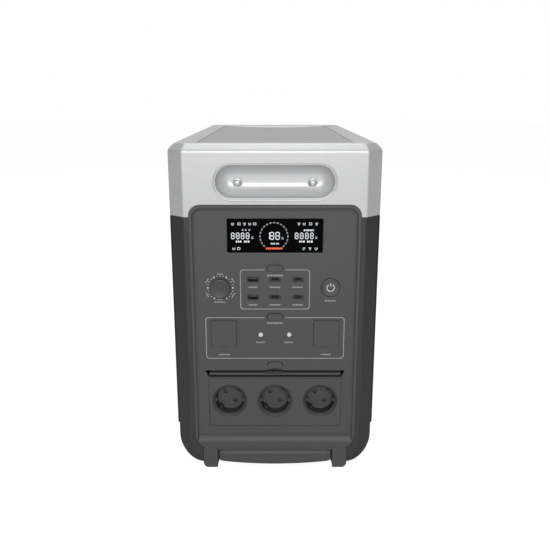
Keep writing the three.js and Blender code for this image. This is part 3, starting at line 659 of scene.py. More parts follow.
carve(frame_ring, mouth(FIELD_LOW))
cove = [(panel_face - COVE_RADIUS * (1 - math.cos(a)), FIELD_LOW - COVE_RADIUS * math.sin(a))
        for a in [math.radians(COVE_TURN) * i / 12 for i in range(13)]]
cove += [(frame_low.y - 4, cove[-1][1]), (frame_low.y - 4, FIELD_LOW + 1), (panel_face, FIELD_LOW + 1)]
sill = loft("cove", [[(x, y, z) for y, z in cove] for x in (-FIELD_HALF, FIELD_HALF)])
carve(sill, mouth(FIELD_LOW - 20), operation="INTERSECT")
carve(frame_ring, sill)
lip = flat_loop(-LIP_HALF, LIP_HALF, LIP_LOW, LIP_HIGH, 0, 5)
carve(frame_ring, prism("lip", lip, frame_low.y - 1, frame_low.y + LIP_DEEP), base_pocket(0))
soften(frame_ring, 0.7, 3, 40)
mount(frame_ring, graphite, "casing", "graphite_panel", "front_frame")

# ---------------------------------------------------------------- control panel
# The flat graphite fascia, 3 mm thick, pressed into the frame from behind. Every control comes
# through a hole in it. The door slot has a thumb notch in its upper edge.
OVALS = {"usb_button": "usb_switch", "ac_button": "ac_switch", "outlet_button": "outlet_switch"}
USB_A = ("usb_a_port_upper", "usb_a_port_lower")
USB_C = tuple("usb_c_port_" + place for place in ("inner_upper", "inner_lower", "outer_upper", "outer_lower"))
SLOT_TOP = 149.3
SLOT_BOTTOM = 138.9
plate_low, plate_high = box_mm("outlet_plate")


def loop_round(node, radius, spare=0, steps=8):
    return around(*box_mm(node), spare, radius, radius, steps)


def drilled(name, loop, holes, front, back, soft=0.3):
    """A flat plate with holes through it and softened edges."""
    plate = prism(name, loop, front, back)
    carve(plate, prisms("holes", holes, front - 1, back + 1))
    return soften(plate, soft, 2, 40)


knob_place = centre_mm("regulator_knob")
power_place = centre_mm("power_button")
SCREEN_RADIUS = 2
screen_low = Vector((-63, 0, 317.5))
screen_high = Vector((63, 0, 362.5))
notch = [(13 - 26 * i / 12, SLOT_TOP + 2.4 * (1 - (i / 6 - 1) ** 2)) for i in range(13)]
slot_loop = [(-92.3, SLOT_BOTTOM), (92.3, SLOT_BOTTOM), (97, SLOT_TOP)] + notch + [(-97, SLOT_TOP)]
holes = [
    around(screen_low, screen_high, CLEARANCE, SCREEN_RADIUS, SCREEN_RADIUS),
    around(plate_low, plate_high, CLEARANCE, 5, 0),
    slot_loop,
    round_hole(knob_place.x, knob_place.z, 3.5, 24),
    round_hole(power_place.x, power_place.z, 13.0),
]
holes += [loop_round(node, 4.9, 0.6) for node in OVALS]
holes += [loop_round(node, 1, CLEARANCE, 4) for node in USB_A]
holes += [loop_round(node, 3.1, CLEARANCE) for node in USB_C]
for name in ("left", "right"):
    holes.append(loop_round("expansion_socket_" + name, 2, CLEARANCE, 4))
    lens = centre_mm("indicator_lens_" + name)
    holes.append(round_hole(lens.x, lens.z, 3.2, 32))
fascia = prism("front_panel_fascia", around(panel_low, panel_high, 0, 8, 11, 12), panel_low.y, panel_high.y)
carve(fascia, prisms("holes", holes, panel_low.y - 1, panel_high.y + 1))
bezel = []
for spread, sunk in ((2.6, -0.4), (2.0, 0.0), (1.0, 0.35), (0.2, 1.1)):
    radius = SCREEN_RADIUS + spread
    loop = around(screen_low, screen_high, spread, radius, radius, 6)
    bezel.append([(x, panel_face + sunk, z) for x, z in loop])
carve(fascia, loft("bezel", bezel))
for name in ("left", "right"):
    seat = loop_round("port_cover_" + name, 1.8, 0.7, 6)
    carve(fascia, prism("cover_seat", seat, panel_face - 1, panel_face + 0.7))
soften(fascia, 0.3, 2, 40)
mount(fascia, graphite, "casing", "graphite_panel", "front_panel")

# ---------------------------------------------------------------- display window
# A pane of black cover glass set 0.7 mm below the fascia, flanged and glued behind it. The lit
# segments lie under its face: numbers, a charge ring, small units and status marks.
window_low, window_high = box_mm("display_window")
pane_face = window_low.y
pane_loop = around(screen_low, screen_high, 0, SCREEN_RADIUS, SCREEN_RADIUS)
pane = prism("display_pane", pane_loop, pane_face, window_high.y)
flange = block("flange", (window_low.x, panel_high.y + CLEARANCE, window_low.z), tuple(window_high))
carve(pane, flange, operation="UNION")
soften(pane, 0.25, 2)
glass = moulding("black_glass", (0.001, 0.001, 0.0012), 0.12, grain=8, depth=0.002, mottle=0.3)
set_sockets(glass.node_tree.nodes["Principled BSDF"], {"Specular IOR Level": 0.04})  # coated against glare
mount(pane, glass, "casing", "black_glass", "display_window")


def slab(x, z, wide, tall, radius=0, steps=3):
    return flat_loop(x - wide / 2, x + wide / 2, z - tall / 2, z + tall / 2, radius, radius, steps)


def stroke(ax, az, bx, bz, width):
    """A straight line segment with pointed ends."""
    length = math.hypot(bx - ax, bz - az)
    ux, uz = (bx - ax) / length, (bz - az) / length
    w = width / 2
    return [(ax, az), (ax + w * (ux + uz), az + w * (uz - ux)), (bx - w * (ux - uz), bz - w * (uz + ux)),
            (bx, bz), (bx - w * (ux + uz), bz - w * (uz - ux)), (ax + w * (ux - uz), az + w * (uz + ux))]


SEGMENTS = {"8": "abcdefg", "1": "bc"}


def digit(x, z, wide, tall, width, figure="8"):
    l, r = x - (wide - width) / 2, x + (wide - width) / 2
    b, t = z - (tall - width) / 2, z + (tall - width) / 2
    thin = 0.8 * width
    lines = {"a": (l, t, r, t), "b": (r, z, r, t), "c": (r, b, r, z), "d": (l, b, r, b), "e": (l, b, l, z),
             "f": (l, z, l, t), "g": (l, z, r, z)}
    gap = 0.18
    loops = []
    for segment in SEGMENTS[figure]:
        ax, az, bx, bz = lines[segment]
        length = math.hypot(bx - ax, bz - az)
        ux, uz = (bx - ax) / length * gap, (bz - az) / length * gap
        loops.append(stroke(ax + ux, az + uz, bx - ux, bz - uz, thin if ax == bx else width))
    return loops


def arc_band(x, z, radius, width, start, end, steps=8):
    """A piece of a flat ring, angles in degrees."""
    angles = [math.radians(start + (end - start) * i / steps) for i in range(steps + 1)]
    edges = [[(x + r * math.cos(a), z + r * math.sin(a)) for a in angles]
             for r in (radius + width / 2, radius - width / 2)]
    return edges[0] + edges[1][::-1]


def dashes(x0, x1, z, tall, widths=(1.9, 1.4, 2.3, 1.6)):
    """A row of short plain marks in place of a word."""
    loops = []
    x = x0
    i = 0
    while x < x1 - 0.8:
        wide = min(tall * widths[i % len(widths)] / 2.4, x1 - x)
        loops.append(slab(x + wide / 2, z, wide, tall))
        x += wide + tall * 0.35
        i += 1
    return loops


def lamp(name, colour, strength):
    """Light behind a mask: a slightly uneven glow."""
    finish, tree, skin, place = new_finish(name)
    cloud = add_node(tree, "TexNoise", {"Vector": place, "Scale": 400}).outputs["Fac"]
    power = add_node(tree, "MapRange", {"Value": cloud, "To Min": strength * 0.85, "To Max": strength * 1.1})
    set_sockets(skin, {"Base Color": (*[c * 0.3 for c in colour], 1), "Roughness": 0.5,
                       "Emission Color": (*colour, 1), "Emission Strength": power.outputs[0]})
    return finish


white_light = []
for x in (-55.7, -49.2, -42.7, -36.2, 28.5, 35.2, 42, 48.6):
    white_light += digit(x, 340, 4.9, 8.8, 1.15)
for x, figure in ((-9.5, "1"), (-4, "8"), (3.4, "8")):
    white_light += digit(x, 340, 5.9, 10.6, 1.25, figure)
for x in (-29.9, 54.4):
    white_light += [slab(x, 338.4, 2.2, 0.7), slab(x, 336.6, 2.2, 0.7)]
white_light += [stroke(8.6, 335.2, 11, 338.2, 0.5), slab(8.8, 337.8, 0.9, 0.9), slab(10.8, 335.6, 0.9, 0.9)]
for x in (-42.7, -38.6, -34):
    white_light += [slab(x, 348.5, 1.9, 0.6), slab(x, 347.2, 1.9, 0.6)]
for x0, x1, z, tall in ((-51.8, -44, 332.3, 2.4), (-41, -33.2, 332.3, 2.4), (32, 40, 332.3, 2.4),
                        (42.4, 50.2, 332.3, 2.4), (-5.5, 0.2, 329.5, 1.9), (1.9, 6, 329.5, 1.9),
                        (37.9, 51.1, 347.5, 2.2)):
    white_light += dashes(x0, x1, z, tall)
status = [(x, 356) for x in (-55.8, -47.3, -40, -33.2, -26.6, 31.5, 38.3, 46.7, 54.8)]
status += [(x, 322.8) for x in (-54.7, -48.1, 46.5, 54.6)]
for i, (x, z) in enumerate(status):
    kind = i % 3
    if kind == 0:
        white_light += [arc_band(x, z, 1.7, 0.5, 120, 420), slab(x, z, 0.9, 1.2)]
    elif kind == 1:
        white_light += [slab(x - 1.6, z, 0.6, 3.4), slab(x + 1.6, z, 0.6, 3.4), slab(x, z + 1.4, 2.2, 0.6),
                        slab(x, z - 1.4, 2.2, 0.6)]
    else:
        white_light += [slab(x, z + 1, 3.6, 0.7), slab(x, z - 0.4, 2.6, 0.7), slab(x, z - 1.7, 1.4, 0.7)]
ring = [arc_band(-1.4, 339.3, 18.4, 1.5, a, a + 9, 3) for a in range(-50, 226, 15)]
orange = [slab(-11 + 2.45 * i, 323, 1.8, 2.6, 0.3) for i in range(9)]
cyan = [arc_band(38.4, 322.6, 1.7, 0.6, 0, 300), slab(38.4, 322.6, 1, 1)]
lit = (
    ("display_figures", white_light, (0.8, 0.85, 0.9), 0.85),
    ("display_ring", ring, (0.6, 0.63, 0.66), 0.26),
    ("display_bars", orange, (1.0, 0.15, 0.04), 0.9),
    ("display_mark", cyan, (0.45, 0.88, 0.88), 0.7),
)
for name, loops, colour, strength in lit:
    shapes = prisms(name, loops, pane_face - 0.03, pane_face + 0.02)
    mount(shapes, lamp(name + "_glow", colour, strength), "casing", "white_lamp")

# ---------------------------------------------------------------- display module
# The panel of lamps behind the glass: a black plastic tray, a shallow lamp mask in front and a
# ribbon connector at the back, clipped to the fascia's flange.
black = moulding("black_plastic", (0.011, 0.011, 0.012), 0.45, grain=0.8, depth=0.04)
tray_low, tray_high = box_mm("display_module")
tray = block("display_tray", tuple(tray_low), (tray_high.x, tray_high.y - 1.5, tray_high.z))
mask = block("mask", (tray_low.x + 3, tray_low.y - 1, tray_low.z + 3),
             (tray_high.x - 3, tray_low.y + 0.6, tray_high.z - 3))
carve(tray, mask)
plug = block("plug", (-14, tray_high.y - 1.6, tray_low.z + 4), (14, tray_high.y, tray_low.z + 10))
carve(tray, plug, operation="UNION")
soften(tray, 0.4)
mount(tray, black, "casing", "black_plastic", "display_module")

# ---------------------------------------------------------------- regulator knob
# A plain charcoal knob, 27 mm across, pressed on the encoder's shaft. It is turned with a
# softened rim, a slightly sunk face and one moulded line that points at the printed ring.
knob_low, knob_high = box_mm("regulator_knob")
r = (knob_high.x - knob_low.x) / 2
face = knob_low.y
shank = panel_face - 0.3
knob_line = [(0, face + 0.5), (r - 3.2, face + 0.45), (r - 2.2, face), (r - 1.2, face), (r - 0.5, face + 0.4),
             (r - 0.2, face + 1.1), (r, face + 7.2), (r - 0.4, shank), (3, shank), (3, knob_high.y),
             (0, knob_high.y)]
knob = turned("regulator_knob_cap", knob_line, (knob_place.x, 0, knob_place.z), steps=96)
carve(knob, block("line", (knob_place.x - 0.45, face - 1, knob_place.z + 6.5),
                  (knob_place.x + 0.45, face + 0.8, knob_place.z + r - 2.4)))
knob_finish = moulding("knob_plastic", (0.066, 0.067, 0.07), 0.5, grain=0.5, depth=0.05)
mount(knob, knob_finish, "regulator", "charcoal_case", "regulator_knob")

# ---------------------------------------------------------------- push buttons
# Three oval caps and the round power button, graphite like the fascia and standing 1.5 mm proud of
# it. Each floats on a dome switch. The power button is dished and carries the printed on-off sign.
for node, body in OVALS.items():
    low, high = box_mm(node)
    cap = prism(node + "_cap", loop_round(node, (high.z - low.z) / 2 - 0.01, 0, 16), low.y, high.y)
    soften(cap, 0.7, 4, 40)
    mount(cap, graphite, body, "graphite_panel", node)
power_low, power_high = box_mm("power_button")
r = (power_high.x - power_low.x) / 2
face = power_low.y
button_line = [(0, face + 0.7), (r - 5, face + 0.6), (r - 3, face + 0.3), (r - 1.8, face), (r - 0.9, face),
               (r - 0.3, face + 0.25), (r, face + 0.8), (r, power_high.y), (0, power_high.y)]
button = turned("power_button_cap", button_line, (power_place.x, 0, power_place.z), steps=96)
mount(button, graphite, "power_switch", "graphite_panel", "power_button")
ink = moulding("white_ink", (0.62, 0.63, 0.64), 0.6, grain=0.3, depth=0.01, mottle=0.05)
sign = [arc_band(power_place.x, power_place.z, 4.9, 1.35, 125, 415, 40),
        slab(power_place.x, power_place.z + 4.1, 1.3, 5.0)]
mount(prisms("power_sign", sign, face + 0.52, face + 0.8), ink, "power_switch", "white_print")

# ---------------------------------------------------------------- USB ports
# Two USB-A and four USB-C receptacles: black moulded bodies soldered to the panel board, with a
# tongue inside each. The USB-C ones sit back under a small hood.
TONGUE_A = (-5.4, 5.4, 0.1, 2)
TONGUE_C = (-3.3, 3.3, -0.35, 0.35)
port_plastic = moulding("port_plastic", (0.05, 0.05, 0.052), 0.5, grain=0.7, depth=0.04)
for node in USB_A + USB_C:
    low, high = box_mm(node)
    at = centre_mm(node)
    wide = node in USB_A
    body = prism(node + "_body", loop_round(node, 0.8 if wide else 2.85, 0, 8), low.y, high.y)
    if wide:
        opening = prism("mouth", slab(at.x, at.z, 12.6, 5.2, 0.3), low.y - 1, low.y + 11)
        x0, x1, z0, z1 = TONGUE_A
    else:
        carve(body, prism("hood", slab(at.x, at.z, 12.8, 4.4, 2.15, 8), low.y - 1, low.y + 1.5))
        opening = prism("mouth", slab(at.x, at.z, 9, 3.2, 1.55, 8), low.y - 1, low.y + 11)
        x0, x1, z0, z1 = TONGUE_C
    carve(body, opening)
    tongue = block("tongue", (at.x + x0, low.y + 2, at.z + z0), (at.x + x1, low.y + 11.5, at.z + z1))
    carve(body, tongue, operation="UNION")
    soften(body, 0.15, 2)
    mount(body, port_plastic, "casing", "black_plastic", node)

# ---------------------------------------------------------------- expansion sockets and covers
# A keyed black socket behind each square cover, for an extra battery or a charging lead. The
# graphite covers are 1.7 mm thick, hinge along their top edge and have a thumbnail nick below.
COVERS = {"left": "left_cover", "right": "right_cover"}
for name, body in COVERS.items():
    node = "expansion_socket_" + name
    low, high = box_mm(node)
    at = centre_mm(node)
    socket = prism(node + "_body", loop_round(node, 2, 0, 6), low.y, high.y)
    carve(socket, prism("mouth", slab(at.x, at.z, 19, 21, 2), low.y - 1, low.y + 20))
    for z in (-4, 4):
        blade = block("blade", (at.x - 6, low.y + 14, at.z + z - 1), (at.x + 6, low.y + 21, at.z + z + 1))
        carve(socket, blade, operation="UNION")
    for z in (-8.6, 0, 8.6):
        rib = block("rib", (at.x - 9.6, low.y + 0.8, at.z + z - 0.6),
                    (at.x - 8.7, low.y + 20.5, at.z + z + 0.6))
        carve(socket, rib, operation="UNION")
    soften(socket, 0.3)
    mount(socket, black, "casing", "black_plastic", node)

    node = "port_cover_" + name
    low, high = box_mm(node)
    at = centre_mm(node)
    cover = prism(node + "_flap", loop_round(node, 1.2, 0, 6), low.y, high.y)
    nick = turned("nick", [(0, low.y - 1), (3.6, low.y - 1), (2.6, low.y + 1.0), (0, low.y + 1.0)],
                  (at.x, 0, low.z - 1.3), steps=40)
    carve(cover, nick)
    soften(cover, 0.7, 4, 40)
    mount(cover, graphite, body, "graphite_panel", node)

# ---------------------------------------------------------------- indicator lenses
# Two milky light guides that carry the panel board's lamps to the fascia. They are push-fitted,
# and their ends stand proud as shallow domes.
for name in ("left", "right"):
    node = "indicator_lens_" + name
    low, high = box_mm(node)
    at = centre_mm(node)
    r = (high.x - low.x) / 2
    dome = [(0, low.y), (r * 0.4, low.y + 0.06), (r * 0.7, low.y + 0.2), (r * 0.9, low.y + 0.45),
            (r, low.y + 0.8), (r, high.y), (0, high.y)]
    lens = turned(node + "_guide", dome, (at.x, 0, at.z), steps=48)
    mount(lens, lamp(node + "_glow", (0.95, 0.97, 1.0), 0.42), "casing", "white_lamp", node)

# ---------------------------------------------------------------- panel printing
# Screen-printed marks on the fascia: an outline round each group of sockets, the ring of dots round
# the knob, and short plain dashes where the words would be.
INK_FRONT = panel_face - 0.06
INK_BACK = panel_face + 0.02
grey_ink = moulding("grey_ink", (0.36, 0.365, 0.37), 0.6, grain=0.3, depth=0.01, mottle=0.05)
pale_ink = moulding("pale_ink", (0.42, 0.425, 0.43), 0.6, grain=0.3, depth=0.01, mottle=0.05)


def outline(half, low, high, radius, width, gap):
    """An open outline with round corners that stops each side of a gap at its top centre."""
    edges = []
    for inset in (0, width):
        bend = radius - inset / 2
        loop = flat_loop(inset - half, half - inset, low + inset, high - inset, bend, bend, 6)
        top = high - inset
        edges.append([(gap, top)] + loop[13::-1] + loop[27:13:-1] + [(-gap, top)])
    return edges[0] + edges[1][::-1]


LINE = 1.1
outlines = [outline(47, 238.4, 294.4, 4.5, LINE, 14), outline(95, 166.8, 227.2, 4.5, LINE, 14)]
mount(prisms("group_outlines", outlines, INK_FRONT, INK_BACK), grey_ink, "casing", "white_print")

DOT_RING = 16.8
dots = []
small_dots = []
for k in range(6):
    a = math.radians(60 * k)
    x = knob_place.x + DOT_RING * math.cos(a)
    dots.append(round_hole(x, knob_place.z + DOT_RING * math.sin(a), 1.25, 20))
    if k == 4:
        continue
    for step in (15, 30, 45):
        b = a + math.radians(step)
        x = knob_place.x + DOT_RING * math.cos(b)
        small_dots.append(round_hole(x, knob_place.z + DOT_RING * math.sin(b), 0.65, 12))
mount(prisms("knob_dots", dots + small_dots, INK_FRONT, INK_BACK), ink, "casing", "white_print")

WORDS = (
    (-10.5, 11, 286, 2.2), (-10.5, 10.5, 218.8, 2.2), (-35.5, -23.5, 269.8, 1.9), (-7, 7, 269.8, 1.9),
    (23, 38.5, 269.8, 1.9), (-35.5, -23.5, 244.9, 1.9), (-7, 7, 244.9, 1.9), (24, 37.5, 244.9, 1.9),
    (-25.5, -13, 190.9, 1.9), (13, 25.5, 190.9, 1.9), (-77, -62.5, 172.9, 1.9), (63, 77, 172.9, 1.9),
    (-77.5, -69.7, 252.7, 1.6), (-81.5, -66, 248.9, 1.9), (67.5, 82, 250.6, 1.9), (-77.2, -70, 287.9, 1.8),
)
words = []
for x0, x1, z, tall in WORDS:
    words += dashes(x0, x1, z, tall)
LABEL_RING = 20.2
for angle, slant in ((30, -60), (150, 60), (210, -60), (330, 60)):
    x = knob_place.x + LABEL_RING * math.cos(math.radians(angle))
    z = knob_place.z + LABEL_RING * math.sin(math.radians(angle))
    c, s = math.cos(math.radians(slant)), math.sin(math.radians(slant))
    for loop in dashes(-3.8, 3.8, 0, 1.7):
        words.append([(x + u * c - v * s, z + u * s + v * c) for u, v in loop])
mount(prisms("panel_words", words, INK_FRONT, INK_BACK), pale_ink, "casing", "white_print")

# ---------------------------------------------------------------- outlet plate
# The graphite cover over the mains outlets: a 3 mm moulding with three round windows, which drops
# into the fascia and is held by the sockets behind it.
OUTLETS = ("left", "middle", "right")
sockets = {name: centre_mm("outlet_" + name) for name in OUTLETS}
windows = [round_hole(at.x, at.z, 24.3, 72) for at in sockets.values()]
plate_loop = around(plate_low, plate_high, 0, 5, 0)
plate = drilled("outlet_plate_cover", plate_loop, windows, plate_low.y, plate_high.y, 0.4)
mount(plate, graphite, "casing", "graphite_panel", "outlet_plate")

# ---------------------------------------------------------------- mains outlets
# Three earthed sockets in charcoal plastic. Each is a round well 17.5 mm deep with a bevelled mouth,
# a guide rib down each side, two shuttered pin holes and two slots for the earth strap. Its walls
# carry painted shade: their colour is darkened where they don't face the front.
PIN_REACH = 9.5 * math.sqrt(0.5)
well_plastic_painted_shade = moulding("outlet_plastic_painted_shade", (0.068, 0.069, 0.072), 0.5, grain=0.8, depth=0.04)
tree = well_plastic_painted_shade.node_tree
# Painted shade: faces that don't face the front, the well's walls, get their base colour multiplied down to 0.45.
split = add_node(tree, "SeparateXYZ", {0: add_node(tree, "TexCoord").outputs["Normal"]})
facing = add_node(tree, "Math", {0: split.outputs["Y"]}, operation="ABSOLUTE")
walls = {"Value": facing.outputs[0], "From Min": 0.2, "From Max": 0.6, "To Min": 0.45}
painted_wall_shade = add_node(tree, "MapRange", walls)
skin = tree.nodes["Principled BSDF"]
layers = {"Factor": 1, "A": skin.inputs["Base Color"].links[0].from_socket, "B": painted_wall_shade.outputs[0]}
colour_with_painted_shade = add_node(tree, "Mix", layers, data_type="RGBA", blend_type="MULTIPLY")
set_sockets(skin, {"Base Color": colour_with_painted_shade.outputs["Result"]})
shutter_finish = moulding("shutter_plastic", (0.04, 0.04, 0.042), 0.45, grain=0.8, depth=0.03)


def swing(piece, angle, place, axis="Y"):
    """Turns a piece made at the origin about an axis, then moves it to its place."""
    piece.data.transform(Matrix.Translation(Vector(place) * MM) @ Matrix.Rotation(angle, 4, axis))
    return piece


WELL_LINE = [(0, 17.5), (17.2, 17.5), (18.6, 17.1), (19.3, 16.2), (19.6, 15), (20.2, 4.2), (20.6, 3.5),
             (23.0, 0.4), (23.4, 0.1), (23.8, 0.1), (24, 0.4), (24, 20.9), (0, 20.9)]
PIN_HOLE = [(0, 17), (3.5, 17), (2.8, 18.2), (2.8, 22), (0, 22)]
for name, at in sockets.items():
    front = panel_face
    line = [(radius, front + along) for radius, along in WELL_LINE]
    well = turned("outlet_%s_well" % name, line, (at.x, 0, at.z), steps=96)
    for side in (-1, 1):
        x0, x1 = sorted((at.x + side * 18.2, at.x + side * 20.6))
        rib = block("rib", (x0, front + 4.4, at.z - 2.4), (x1, front + 18, at.z + 2.4))
        carve(well, rib, operation="UNION")
        hole = [(radius, front + along) for radius, along in PIN_HOLE]
        carve(well, turned("hole", hole, (at.x - side * PIN_REACH, 0, at.z + side * PIN_REACH), steps=36))
        slot = block("slot", (17.1, front + 17, -3.2), (19.1, front + 22, 3.2))
        carve(well, swing(slot, math.radians(-45 if side > 0 else 135), (at.x, 0, at.z)))
    soften(well, 0.25, 2, 60)
    mount(well, well_plastic_painted_shade, "casing", "charcoal_case", "outlet_" + name)
    caps = [round_hole(at.x - side * PIN_REACH, at.z + side * PIN_REACH, 2.6, 24) for side in (-1, 1)]
    shutter = prisms("outlet_%s_shutter" % name, caps, front + 19.4, front + 20.6)
    mount(shutter, shutter_finish, "casing", "black_plastic")

# ---------------------------------------------------------------- earth straps
# One sprung strip of dull-plated brass per outlet, bent into a U: its bridge runs behind the socket's
# floor, and its two arms stand in the well and bow inwards to press on the plug.
dull_plate = metal("dull_plating", (0.16, 0.16, 0.165), 0.6)
STRAP_HALF = 2.75
ARM = ((18.6, 22.3), (18.6, 17.6), (17.3, 13.5), (16.9, 10.5), (17.6, 7.2), (18.5, 6.1))
for name, at in sockets.items():
    outer = [(x, front + y) for x, y in ARM]
    inner = [(x - 0.9, front + y) for x, y in ARM[:0:-1]] + [(17.7, front + 21.3)]
    half_loop = outer + inner
    profile = half_loop + [(-x, y) for x, y in reversed(half_loop)]
    rings = [[(x, y, z) for x, y in profile] for z in (-STRAP_HALF, STRAP_HALF)]
    strap = swing(loft("earth_clip_%s_strap" % name, rings), math.radians(-45), (at.x, 0, at.z))
    soften(strap, 0.15, 2, 60)
    mount(strap, dull_plate, "casing", "bright_steel", "earth_clip_" + name)

# ---------------------------------------------------------------- outlet door
# The graphite door that can cover the outlets is stored flat in a black sleeve behind its slot,
# and is drawn out by its rolled front edge. Two shallow ribs stiffen it.
door_low, door_high = box_mm("outlet_door")
door = block("outlet_door_leaf", tuple(door_low), tuple(door_high))
for x in (-60, 60):
    groove = block("groove", (x - 6, door_low.y + 9, door_high.z - 0.5),
                   (x + 6, door_high.y - 4, door_high.z + 1))
    carve(door, groove)
carve(door, block("pull", (-12, door_low.y - 1, door_high.z - 0.9), (12, door_low.y + 4, door_high.z + 1)))
soften(door, 0.7, 3)
mount(door, graphite, "door", "graphite_panel", "outlet_door")
guide_low, guide_high = box_mm("door_guide")
sleeve = block("door_guide_sleeve", tuple(guide_low), tuple(guide_high))
carve(sleeve, block("room", (guide_low.x + 3, guide_low.y - 1, SLOT_BOTTOM + 1),
                    (guide_high.x - 3, guide_high.y - 3, SLOT_TOP - 1.2)))
soften(sleeve, 0.4)
mount(sleeve, black, "casing", "black_plastic", "door_guide")

# ---------------------------------------------------------------- front feet
# Two charcoal plastic feet bolted under the front corners. Their faces carry on the line of the
# front, and their soles are grooved across for grip.
for name, side in (("left", -1), ("right", 1)):
    node = "front_foot_" + name
    low, high = box_mm(node)
    outer = high.x if side > 0 else low.x
    inner = low.x if side > 0 else high.x
    points = [(inner, 0), (outer - side * 6, 0), (outer - side * 2.4, 1.6), (outer, 6), (outer, high.z - 3),
              (outer - side * 0.9, high.z - 0.9), (outer - side * 3, high.z), (inner, high.z)]
    foot = prism(node + "_block", points, low.y, high.y)
    for i in range(4):
        y = low.y + 6 + 8 * i
        carve(foot, block("groove", (low.x - 1, y, -1), (high.x + 1, y + 2.2, 0.9)))
    soften(foot, 0.7, 3, 40)
    mount(foot, graphite, "casing", "charcoal_case", node)

# ---------------------------------------------------------------- pull handle
# A solid-looking moulded grip between the feet, bowed down in the middle and rounded in front, on
# two anodised tubes. The tubes slide in two longer guide tubes fixed along the casing's floor.
BOW_END = 9
BOW_MIDDLE = 4
grip_rings = []
for i in range(33):
    u = i / 16 - 1
    x = grip_high.x * u
    z0 = BOW_MIDDLE + (BOW_END - BOW_MIDDLE) * u * u
    z1 = grip_high.z
    ease = 1.2 if abs(u) == 1 else 0
    ring_points = []
    for cy, cz, radius, start in ((grip_high.y - 2, z0 + 2, 2, -90), (grip_high.y - 2, z1 - 2, 2, 0),
                                  (grip_low.y + 6, z1 - 6, 6, 90), (grip_low.y + 4, z0 + 4, 4, 180)):
        for k in range(9):
            a = math.radians(start + 90 * k / 8)
            bend = radius - ease
            ring_points.append((x, cy + bend * math.cos(a), cz + bend * math.sin(a)))
    grip_rings.append(ring_points)
grip = loft("pull_grip_bar", grip_rings)
for side in (-1, 1):
    place = (side * tube_at.x, 0, tube_at.z)
    carve(grip, rod("socket", 6.3, grip_high.y - 7, grip_high.y + 1, place, steps=32))
soften(grip, 0.8, 3, 50)
mount(grip, graphite, "pull_handle", "charcoal_case", "pull_grip")
aluminium = metal("anodised_tube", (0.62, 0.63, 0.64), 0.38, scratch=(6, 0.3, 6))
for name, side in (("left", -1), ("right", 1)):
    for node, thin in (("handle_tube_" + name, 1.2), ("guide_tube_" + name, 1.0)):
        low, high = box_mm(node)
        r = (high.x - low.x) / 2
        line = [(r - thin, low.y + 0.3), (r - 0.3, low.y), (r, low.y + 0.3), (r, high.y - 0.3),
                (r - 0.3, high.y), (r - thin, high.y - 0.3)]
        rides_on = "pull_handle" if node.startswith("handle") else "casing"
        tube = turned(node + "_drawn", line, (side * tube_at.x, 0, tube_at.z), steps=48)
        mount(tube, aluminium, rides_on, "tube_aluminium", node)

# ---------------------------------------------------------------- wheels and axle
# A rubber tyre with a grooved, notched tread is stretched over each five-spoked charcoal hub.
# Both hubs turn on one steel axle, which is upset at its ends to keep them on.
rubber = moulding("tyre_rubber", (0.016, 0.016, 0.017), 0.75, grain=1.5, depth=0.15)
TREAD = [(34.3, -13.6), (36, -14.4), (42, -15), (45, -13.6), (47.2, -10.6), (48, -7.5), (48, -4.2),
         (46.8, -3.8), (46.8, -2.6), (48, -2.2)]
HUB = [(4.4, -15), (11.2, -15), (12, -14.2), (13.4, -8.6), (14.4, -8), (28.6, -8), (29.6, -8.6),
       (30.8, -13.4), (31.6, -14), (34, -14), (34, 14), (31.6, 14), (30.8, 13.4), (29.6, 8.6), (28.6, 8),
       (14.4, 8), (13.4, 8.6), (12, 13.2), (11.2, 14), (4.4, 14)]
NOTCHES = 36
for name, side in (("left", -1), ("right", 1)):
    low, high = box_mm("tyre_" + name)
    at = (low + high) / 2
    line = TREAD + [(radius, -along) for radius, along in reversed(TREAD)]
    tyre = turned("tyre_%s_rubber" % name, line, tuple(at), "X", 108)
    cutters = []
    for k in range(NOTCHES):
        notch_cut = block("notch", (-16, -1.1, 46.4), (-6.5, 1.1, 50))
        if k % 2:
            notch_cut.data.transform(Matrix.Rotation(math.pi, 4, "Z"))
        cutters.append(swing(notch_cut, 2 * math.pi * k / NOTCHES, at, "X"))
    bpy.context.view_layer.update()
    joined = cutters[0]
    gathered = bmesh.new()
    for cutter in cutters:
        gathered.from_mesh(cutter.data)
    gathered.to_mesh(joined.data)
    gathered.free()
    for cutter in cutters[1:]:
        bpy.data.objects.remove(cutter)
    carve(tyre, joined)
    mount(tyre, rubber, name + "_wheel", "black_rubber", "tyre_" + name)

    line = [(radius, side * -along) for radius, along in HUB]
    hub = turned("wheel_hub_%s_moulding" % name, line, tuple(at), "X", 80)
    for k in range(5):
        window = []
        for radius, spread in ((16.5, 22), (26.5, 26)):
            angles = [math.radians(-spread + 2 * spread * i / 6 + 72 * k) for i in range(7)]
            row = [(radius * math.cos(a), radius * math.sin(a)) for a in angles]
            window += row if radius < 20 else row[::-1]
        rings = [[(x, at.y + y, at.z + z) for y, z in window] for x in (at.x - 9, at.x + 9)]
        carve(hub, loft("window", rings))
    soften(hub, 0.5, 2, 40)
    mount(hub, charcoal, name + "_wheel", "charcoal_case", "wheel_hub_" + name)
reach = box_mm("axle")[1].x
AXLE_END = ((0, 0), (5.2, 0), (6.4, 0.7), (7, 1.8), (7, 2.7), (4, 2.7))
line = [(radius, -reach + along) for radius, along in AXLE_END]
line += [(radius, -along) for radius, along in reversed(line)]
spindle = turned("axle_rod", line, (0, axle.y, axle.z), "X", 48)
mount(spindle, metal("axle_steel", (0.6, 0.6, 0.61), 0.34, scratch=(0.3, 6, 6)), "casing", "bright_steel", "axle")

